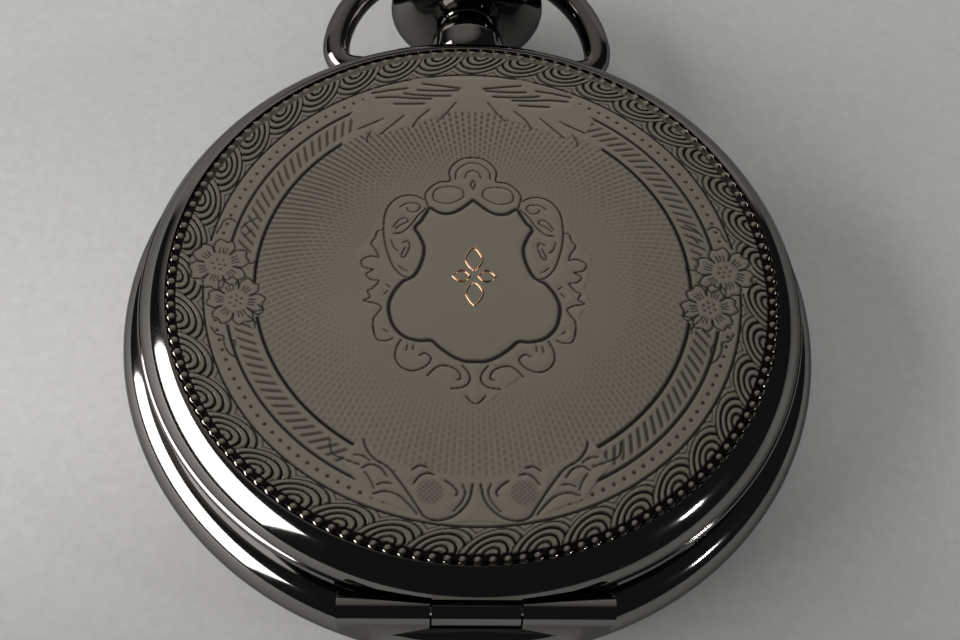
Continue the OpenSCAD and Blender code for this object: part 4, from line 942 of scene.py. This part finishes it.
class WATCH_OT_back(bpy.types.Operator):
    """Back with its flat rest face and rounded shoulder"""

    bl_idname = "watch.back"
    bl_label = "Back"

    def execute(self, context):
        rest, top, tall, flange = 19.75, 21.55, 2.4, mm(case().flange_r)
        shoulder = arc(rest, tall, top - rest, tall, -90, 0, 24)
        profile = [(0.001, 0.8), (0.001, 0.0)] + shoulder + [
            (top + 0.04, 2.46), (flange - 0.1, 2.6), (flange, 2.72), (flange, 3.02),
            (flange - 0.08, 3.1), (20.35, 3.1), (20.35, 4.4), (19.85, 4.4), (19.85, 1.9),
            (18.75, 0.8),
        ]
        obj = lathe("back", profile)
        return finished(obj, gunmetal(), "gunmetal", "case", "back_cover")


class WATCH_OT_pendant(bpy.types.Operator):
    """Pendant: a seated ball with a collar, and the neck"""

    bl_idname = "watch.pendant"
    bl_label = "Pendant"

    def execute(self, context):
        p = context.scene.watch_pendant
        ball, neck, y, bore = mm(p.ball_r), mm(p.neck_r), mm(p.ball_y), 1.47
        end, rise = mm(p.neck_y) - y, mm(p.ball_tall)
        first, last = (degrees(acos(x / ball)) for x in (bore + 0.02, neck))
        profile = arc(0, 0, ball, ball, -first, 0, 24) + arc(0, rise, ball, ball, 0, last, 20)
        profile += [(neck - 0.1, profile[-1][1] + 0.12), (neck - 0.1, end - 0.5), (neck, end - 0.4),
                    (neck, end - 0.08), (neck - 0.08, end), (bore, end)]
        obj = lathe("pendant_ball", profile, 128)
        along_stem(obj, y)
        clean(obj)
        return finished(obj, gunmetal(), "gunmetal", "case", "pendant")


class WATCH_OT_crown(bpy.types.Operator):
    """Onion-shaped crown with a fluted rim"""

    bl_idname = "watch.crown"
    bl_label = "Crown"

    def execute(self, context):
        p = context.scene.watch_pendant
        r, tall, flutes = mm(p.crown_r), mm(p.crown_len), p.flutes
        rim, foot, flute_depth = tall / 2, 2.9, 0.22
        bowl = arc(foot, rim - 0.5, r - foot, rim - 0.5, -90, -6, 18)
        edge = [(r - 0.02, rim - 0.42 + 0.84 * t) for t in np.linspace(0, 1, 6)]
        cap = arc(0, rim + 0.45, r, tall - rim - 0.45, 6, 89.9, 22)
        socket = [(2.3, 1.2), (2.3, 0.1), (2.42, 0.0), (foot - 0.08, 0.0)]
        obj = lathe("crown_onion", socket + bowl + edge + cap + [(0.001, 1.2)], flutes * 10)
        q = get_points(obj)
        radius, angle = np.hypot(q[:, 0], q[:, 1]), np.arctan2(q[:, 1], q[:, 0])
        band = ease(q[:, 2], rim - 0.2, rim) * (1 - ease(q[:, 2], rim + 0.9, rim + 1.4))
        groove = (0.5 + 0.5 * np.cos(angle * flutes)) ** 2 * flute_depth * band * (radius > r * 0.7)
        q[:, :2] *= (1 - groove / np.maximum(radius, 0.01))[:, None]
        set_points(obj, q)
        along_stem(obj, mm(p.crown_y))
        clean(obj, 50)
        return finished(obj, dark_plating(), "gunmetal", "crown", "crown")


class WATCH_OT_bow(bpy.types.Operator):
    """Bow: a ring of wire whose ends turn in to the pendant"""

    bl_idname = "watch.bow"
    bl_label = "Bow"

    def execute(self, context):
        p = context.scene.watch_pendant
        ring, thick, bar = mm(p.bow_ring), mm(p.bow_wire), mm(p.bow_bar)
        y, z = mm(p.ball_y), mm(p.axis_z)
        drop, sag = mm(p.bow_drop), mm(p.bow_sag)
        end = mm(p.ball_r) + 0.15
        half_ring = arc(0, 0, ring, ring, 3.4, 90, 48)
        pin_r, pin_in, pin_out = 0.55, 1.7, end + 0.6
        bend = np.array([(end, -drop), (end + 4.2, -drop), (ring, -drop - sag), half_ring[0]])
        path = []
        for t in np.linspace(0, 1, 20):
            share = np.array([(1 - t) ** 3, 3 * (1 - t) ** 2 * t, 3 * (1 - t) * t * t, t**3])
            path.append((*(share @ bend), bar + (thick - bar) * t))
        path += [(px, py, thick) for px, py in half_ring[1:]]
        path += [(-px, py, w) for px, py, w in path[-2::-1]]
        path = [(px, py + y, z, w / thick) for px, py, w in path]
        obj = wire("bow_ring", path, thick, 8, caps=True)
        join(obj, rod_piece(pin_r, pin_in, pin_out, y - drop, z),
             rod_piece(pin_r, -pin_out, -pin_in, y - drop, z))
        clean(obj)
        return finished(obj, dark_plating(), "gunmetal", "bow", "bow")


class WATCH_OT_glass(bpy.types.Operator):
    """Domed glass in its bezel"""

    bl_idname = "watch.glass"
    bl_label = "Glass and bezel"

    def execute(self, context):
        r, dome, under_z, over_z = 17.9, 0.5, 10.05, 10.6
        under = [(r * u, under_z + dome * (1 - u * u)) for u in np.linspace(0.0001, 1, 20)]
        over = [(r * u, over_z + dome * (1 - u * u)) for u in np.linspace(1, 0.0001, 20)]
        obj = lathe("watch_glass", under + over, 192)
        finished(obj, glass(), "crystal", "case", "crystal")
        profile = [
            (17.4, 8.75), (18.7, 8.75), (18.7, 8.4), (19.9, 8.4), (19.9, 8.7), (19.8, 8.82),
            (19.25, 9.2), (18.95, 10.3), (18.88, 10.7), (18.74, 10.9), (18.5, 10.97),
            (17.85, 10.97), (17.66, 10.9), (17.6, 10.67), (17.92, 10.67), (17.92, 10.03),
            (17.4, 10.03),
        ]
        obj = lathe("watch_bezel", profile, 192)
        return finished(obj, polished_steel(), "steel", "case", "bezel")


class WATCH_OT_dial(bpy.types.Operator):
    """Dial with numerals, minute track and sunk seconds circle"""

    bl_idname = "watch.dial"
    bl_label = "Dial"

    def execute(self, context):
        d = context.scene.watch_dial
        r, z, sy = mm(d.dial_r), mm(d.dial_z), -mm(d.second_y)
        bore, thick = 1.15, 0.4
        profile = [(bore, z - thick), (r, z - thick), (r, z - 0.06), (r - 0.06, z), (bore, z)]
        obj = lathe("dial_face", profile, 192)
        cut(obj, cylinder(3.6, 1, 96, (0, sy, z + 0.38)))
        cut(obj, cylinder(0.5, 4, 32, (0, sy, z)))
        clean(obj)
        finished(obj, enamel("Enamel", colours().enamel, 0.25), "dial", "case", "dial")
        prints = []
        low = z + 0.004
        for minute in range(60):
            long = minute % 5 == 0
            half = 0.06 + 0.09 * long
            mark = box_piece(half, r - 1.9, r - 1.3, low, z + 0.03)
            prints.append(turned(mark, -6.0 * minute, 0))
            if long:
                tick = box_piece(0.05, sy + 2.8, sy + 3.35, z - 0.118, z - 0.1)
                prints.append(turned(tick, -6.0 * minute, sy))
        for edge in (r - 1.25, r - 1.95):
            track = [(edge - 0.05, low), (edge + 0.05, low), (edge + 0.05, z + 0.02),
                     (edge - 0.05, z + 0.02)]
            prints.append(lathe("track", track, 192))
        # The seconds circle takes the place of the six
        for hour in (1, 2, 3, 4, 5, 7, 8, 9, 10, 11, 12):
            prints.append(numeral(hour, mm(d.numeral) * 1.4, r - 4.1, z + 0.016))
        obj = join(*prints)
        obj.name = "dial_print"
        clean(obj)
        return finished(obj, enamel("Ink", colours().ink, 0.4), "dial", "case")


def numeral(hour, size, r, z):
    """An upright hour numeral at its place on the dial."""
    bpy.ops.object.text_add()
    data = bpy.context.object.data
    data.body = str(hour)
    data.size = size
    data.align_x = data.align_y = "CENTER"
    data.extrude = 0.012
    bpy.ops.object.convert(target="MESH")
    text = bpy.context.object
    a = radians(90 - 30 * hour)
    set_points(text, get_points(text) + (r * cos(a), r * sin(a), z))
    return text


def turned(obj, angle, middle):
    """Turns a piece round a point of the dial's upright middle line."""
    p = get_points(obj)
    a = radians(angle)
    x, y = p[:, 0], p[:, 1] - middle
    turned_x = x * cos(a) - y * sin(a)
    turned_y = middle + x * sin(a) + y * cos(a)
    set_points(obj, np.c_[turned_x, turned_y, p[:, 2]])
    return obj


class WATCH_OT_works(bpy.types.Operator):
    """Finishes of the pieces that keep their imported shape"""

    bl_idname = "watch.works"
    bl_label = "Works"

    def execute(self, context):
        c = colours()
        finishes = {
            "steel": polished_steel(),
            "gilt": metal("Gilt brass", c.gilt, 0.22),
            "blued": metal("Blued steel", c.blued, 0.15),
            "jewel": enamel("Jewel", c.jewel, 0.08),
        }
        for name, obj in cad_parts.items():
            if obj.hide_render:
                continue
            obj.data.materials.clear()
            obj.data.materials.append(finishes[finish_of(name)])
            select_only(obj)
            bpy.ops.object.shade_smooth_by_angle(angle=radians(30))
        return {"FINISHED"}


def finish_of(node):
    """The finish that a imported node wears."""
    if node == "jewels":
        return "jewel"
    if node in BLUED or node.endswith("screw"):
        return "blued"
    return "gilt" if node in GILT else "steel"


class WATCH_OT_stage(bpy.types.Operator):
    """Pale table, window light, surroundings and camera"""

    bl_idname = "watch.stage"
    bl_label = "Stage"

    def execute(self, context):
        scene = context.scene
        bpy.ops.mesh.primitive_circle_add(
            vertices=64, radius=1.5, fill_type="NGON", location=(0, 0, 0)
        )
        floor = bpy.context.object
        floor.name = "table"
        floor.data.materials.append(table_material())
        area_light(scene, "window", (-0.62, -0.1, 0.3), (0.7, 0.46), 6.4, (1.0, 0.98, 0.95))
        area_light(scene, "glint", (0.42, -0.2, 0.24), (0.05, 0.03), 0.25)
        world_light(scene)
        camera = bpy.data.cameras.new("camera")
        camera.sensor_fit = "HORIZONTAL"
        camera.sensor_width = 36.0
        camera.lens = 56.25
        camera.clip_start = 0.002
        camera.clip_end = 20.0
        eye = bpy.data.objects.new("camera", camera)
        scene.collection.objects.link(eye)
        eye.matrix_world = camera_place()
        scene.camera = eye
        scene.view_settings.view_transform = "Standard"
        return {"FINISHED"}


def area_light(scene, name, place, size, energy, colour=(1.0, 1.0, 1.0)):
    """A rectangular light that looks at the watch."""
    light = bpy.data.lights.new(name, "AREA")
    light.shape = "RECTANGLE"
    light.size, light.size_y = size
    light.energy = energy
    light.color = colour
    obj = bpy.data.objects.new(name, light)
    scene.collection.objects.link(obj)
    obj.location = place
    sight = Vector((0, 0, 0.01)) - Vector(place)
    obj.rotation_euler = sight.to_track_quat("-Z", "Y").to_euler()


def camera_place():
    """Where the photograph was taken from."""
    azimuth, elevation, roll = -5.2, 58.027, 5.269
    target, distance = Vector((0.33, -3.144, 12.4)) * MM, 96.672 * MM
    place = Matrix.Identity(4)
    for angle, axis in ((azimuth, "Z"), (90 - elevation, "X"), (roll, "Z")):
        place = place @ Matrix.Rotation(radians(angle), 4, axis)
    place.translation = target + place.col[2].xyz * distance
    return place


def table_material():
    """Pale table with a faint mottle, and painted light and shade: lighter towards the window,
    darker at the front.
    """
    material, net, shader = new_material("Table")
    where = net.add("ShaderNodeTexCoord").outputs["Object"]
    split = net.add("ShaderNodeSeparateXYZ", {0: where}).outputs
    mottle = {"Scale": 1100.0, "Detail": 4.0, "Roughness": 0.7, "Vector": where}
    noise = net.add("ShaderNodeTexNoise", mottle).outputs["Fac"]
    table = colours().table
    # Painted light: the table is painted lighter on the left, towards the window, and darker on the
    # right
    left = net.mix(noise, shade(table, 0.85), shade(table, 1.15))
    right = net.mix(noise, shade(table, 0.74), shade(table, 1.0))
    # Painted shade: the table is painted darker towards the front, lighter across the middle and a
    # little darker towards the back
    depth = net.step(split["Y"], -0.024, 0.03, kind="LINEAR")
    light = net.ramp(depth, (0.0, [0.74] * 3), (0.42, [1.1] * 3), (1.0, [0.92] * 3), kind="EASE")
    pale = net.mix(net.step(split["X"], -0.03, 0.035), left, right)
    lit = net.add("ShaderNodeHueSaturation", {"Color": pale, "Value": light}).outputs[0]
    net.fill(shader, {"Base Color": lit, "Roughness": net.spread(noise, 0.6, 0.75)})
    return material


def world_light(scene):
    """A dark room with a grey ceiling, and a pale backdrop for the camera."""
    dark, grey, light, far_light = (
        (0.022, 0.022, 0.023), (0.2, 0.19, 0.171), (0.315, 0.3, 0.268), (0.44, 0.418, 0.378)
    )
    world = bpy.data.worlds.new("Room")
    scene.world = world
    world.use_nodes = True
    net = Net(world.node_tree)
    where = net.add("ShaderNodeTexCoord").outputs["Generated"]
    ceiling = Vector((-0.2, 0.62, 0.76)).normalized()
    facing = net.add("ShaderNodeVectorMath", {0: where, 1: ceiling}, operation="DOT_PRODUCT")
    near = net.ramp(facing.outputs["Value"], (0.72, dark), (0.85, grey), (0.95, light))
    away = net.add("ShaderNodeSeparateXYZ", {0: where}).outputs["Y"]
    far = net.ramp(away, (0.9, far_light), (0.985, dark))
    room = net.nodes["Background"]
    net.fill(room, {"Color": net.mix(net.step(away, 0.69, 0.76), near, far), "Strength": 1.0})
    last = net.add("ShaderNodeBackground", {"Color": (0.36, 0.36, 0.36, 1)})
    pale = net.add("ShaderNodeBackground", {"Color": (0.5, 0.5, 0.49, 1)})
    ray = net.add("ShaderNodeLightPath").outputs
    for seen, sight in (("Is Glossy Ray", room), ("Is Camera Ray", pale)):
        sides = {0: ray[seen], 1: last.outputs[0], 2: sight.outputs[0]}
        last = net.add("ShaderNodeMixShader", sides)
    net.fill(net.nodes["World Output"], {"Surface": last.outputs[0]})


class WATCH_PT_panel(bpy.types.Panel):
    """Buttons for the watch's pieces"""

    bl_idname = "WATCH_PT_panel"
    bl_label = "Pocket watch"
    bl_space_type = "VIEW_3D"
    bl_region_type = "UI"
    bl_category = "Watch"

    def draw(self, context):
        for operator in OPERATORS:
            self.layout.operator(operator.bl_idname)


GROUPS = {
    "watch_case": WatchCase,
    "watch_lid": WatchLid,
    "watch_pendant": WatchPendant,
    "watch_dial": WatchDial,
    "watch_colours": WatchColours,
}
OPERATORS = (
    WATCH_OT_lid_shell, WATCH_OT_lid_face, WATCH_OT_lid_ornament, WATCH_OT_band, WATCH_OT_back,
    WATCH_OT_pendant, WATCH_OT_crown, WATCH_OT_bow, WATCH_OT_glass, WATCH_OT_dial, WATCH_OT_works,
    WATCH_OT_stage,
)


def register():
    for name, group in GROUPS.items():
        bpy.utils.register_class(group)
        setattr(bpy.types.Scene, name, bpy.props.PointerProperty(type=group))
    for cls in (*OPERATORS, WATCH_PT_panel):
        bpy.utils.register_class(cls)


def unregister():
    for cls in (WATCH_PT_panel, *reversed(OPERATORS)):
        bpy.utils.unregister_class(cls)
    for name, group in GROUPS.items():
        delattr(bpy.types.Scene, name)
        bpy.utils.unregister_class(group)


def main():
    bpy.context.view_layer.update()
    register()
    bpy.ops.watch.lid_shell()
    bpy.ops.watch.lid_face()
    bpy.ops.watch.lid_ornament()
    bpy.ops.watch.band()
    bpy.ops.watch.back()
    bpy.ops.watch.pendant()
    bpy.ops.watch.crown()
    bpy.ops.watch.bow()
    bpy.ops.watch.glass()
    bpy.ops.watch.dial()
    bpy.ops.watch.works()
    bpy.ops.watch.stage()


if __name__ == "__main__":
    main()
